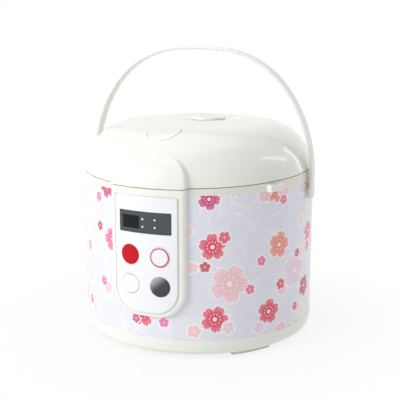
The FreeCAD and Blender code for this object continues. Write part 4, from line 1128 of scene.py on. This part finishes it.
class COOKER_OT_inside(bpy.types.Operator):
    """Pot, heater, boards, springs and fasteners"""

    bl_idname = "cooker.inside"
    bl_label = "Inside"

    def execute(self, context):
        smooth_copy("inner_pot")
        for node, joint in SPRUNG.items():
            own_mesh(smooth_copy(node))
        for node, solid in frame["nodes"].items():
            solid.data.materials.clear()
            solid.data.materials.append(finish_of(node))
        return {"FINISHED"}


LAMPS = {
    "key": {"place": (-1.15, -1.5, 1.0), "size": (1.2, 1.2)},
    "fill": {"place": (1.3, -0.9, 0.7), "size": (1.0, 1.0)},
    "top": {"place": (-0.2, 0.1, 1.6), "size": (1.4, 1.4)},
    "glint": {"place": (0.76, 0.30, 0.66), "size": (0.50, 0.10), "roll": -39},
    "rim": {"place": (0.76, 1.00, 0.53), "size": (0.24, 0.75)}}
LAMP_AIM = Vector((0.0, 0.0, 0.14))


class COOKER_OT_stage(bpy.types.Operator):
    """White studio and the camera"""

    bl_idname = "cooker.stage"
    bl_label = "Stage"

    def execute(self, context):
        settings = context.scene.cooker_stage
        make_floor(settings.floor_white)
        make_sky(settings.sky)
        for name, lamp in LAMPS.items():
            softbox(name + "_light", energy=getattr(settings, name + "_power"), **lamp)
        make_camera(settings)
        context.scene.view_settings.view_transform = "Standard"
        return {"FINISHED"}


def seen_directly(tree):
    """1 for the rays that show the backdrop itself, to the camera, in gloss or through glass."""
    rays = add_node(tree, "ShaderNodeLightPath").outputs
    both = calc(tree, "MAXIMUM", rays["Is Camera Ray"], rays["Is Glossy Ray"])
    return calc(tree, "MAXIMUM", both, rays["Is Transmission Ray"])


def make_floor(white):
    """White floor that keeps a soft shadow near the cooker and fades to plain white further off."""
    half_size, shadow_start, shadow_end, shadow_share = 6.0, 0.1, 0.3, 0.18
    bm = bmesh.new()
    bmesh.ops.create_grid(bm, x_segments=1, y_segments=1, size=half_size)
    floor = bpy.data.objects.new("floor", mesh_from(bm, "floor"))
    bpy.context.scene.collection.objects.link(floor)
    material, tree, shader, place = new_material("floor_white")
    feed_all(tree, shader, {"Base Color": opaque(white), "Roughness": 0.9, "Specular IOR Level": 0.0})
    glow = add_node(tree, "ShaderNodeEmission")
    shadow = ramp_down(tree, vector_length(tree, place), shadow_start, shadow_end)
    near = times(tree, shadow, shadow_share)
    share = times(tree, seen_directly(tree), inverse(tree, near))
    both = {"Fac": share, 1: shader.outputs["BSDF"], 2: glow.outputs["Emission"]}
    blend = add_node(tree, "ShaderNodeMixShader", inputs=both)
    tree.links.new(blend.outputs["Shader"], tree.nodes["Material Output"].inputs["Surface"])
    floor.data.materials.append(material)


def make_sky(strength):
    """Even light from all round that shows as plain white."""
    world = bpy.data.worlds.new("studio")
    world.use_nodes = True
    tree = world.node_tree
    lift = times(tree, seen_directly(tree), 1.0 - strength)
    glow = calc(tree, "ADD", lift, strength)
    feed_all(tree, tree.nodes["Background"], {"Strength": glow, "Color": WHITE})
    bpy.context.scene.world = world


def softbox(name, place, size, energy, roll=0.0):
    """Soft light that looks at the cooker's middle, turned about its own axis by a roll in degrees."""
    light = bpy.data.lights.new(name, "AREA")
    light.shape = "RECTANGLE"
    light.size, light.size_y = size
    light.energy = energy
    lamp = bpy.data.objects.new(name, light)
    lamp.location = place
    aim = LAMP_AIM - lamp.location
    turned = aim.to_track_quat("-Z", "Y") @ Quaternion((0.0, 0.0, 1.0), math.radians(roll))
    lamp.rotation_euler = turned.to_euler()
    bpy.context.scene.collection.objects.link(lamp)


def make_camera(settings):
    """Camera at the height and distance of a table-top picture."""
    camera = bpy.data.objects.new("camera", bpy.data.cameras.new("camera"))
    camera.data.lens = settings.lens
    camera.data.clip_start = settings.clip_start
    azimuth = settings.azimuth
    right = Vector((math.cos(azimuth), math.sin(azimuth), 0.0))
    outward = Vector((math.sin(azimuth), -math.cos(azimuth), 0.0))
    eye = outward * settings.distance + Vector((0.0, 0.0, settings.height))
    aim = Vector((0.0, 0.0, settings.aim_height)) - eye
    camera.rotation_euler = aim.to_track_quat("-Z", "Y").to_euler()
    camera.location = eye + right * settings.side_step
    bpy.context.scene.collection.objects.link(camera)
    bpy.context.scene.camera = camera


class COOKER_PT_panel(bpy.types.Panel):
    """Sidebar panel that lists the pieces"""

    bl_label = "Rice cooker"
    bl_idname = "COOKER_PT_panel"
    bl_space_type = "VIEW_3D"
    bl_region_type = "UI"
    bl_category = "Rice cooker"

    def draw(self, context):
        for operator in OPERATORS:
            self.layout.operator(operator.bl_idname)


OPERATORS = (
    COOKER_OT_body, COOKER_OT_lid, COOKER_OT_handle, COOKER_OT_panel, COOKER_OT_keys, COOKER_OT_inside,
    COOKER_OT_stage)
GROUPS = {"cooker_sizes": CookerSizes, "cooker_colours": CookerColours, "cooker_stage": StageSettings}
CLASSES = (*GROUPS.values(), *OPERATORS, COOKER_PT_panel)


def register():
    for entry in CLASSES:
        bpy.utils.register_class(entry)
    for name, group in GROUPS.items():
        setattr(bpy.types.Scene, name, PointerProperty(type=group))


def unregister():
    for name in GROUPS:
        delattr(bpy.types.Scene, name)
    for entry in reversed(CLASSES):
        bpy.utils.unregister_class(entry)


def main():
    register()
    bpy.ops.cooker.body()
    bpy.ops.cooker.lid()
    bpy.ops.cooker.handle()
    bpy.ops.cooker.panel()
    bpy.ops.cooker.keys()
    bpy.ops.cooker.inside()
    bpy.ops.cooker.stage()
    bpy.context.view_layer.update()


if __name__ == "__main__":
    main()
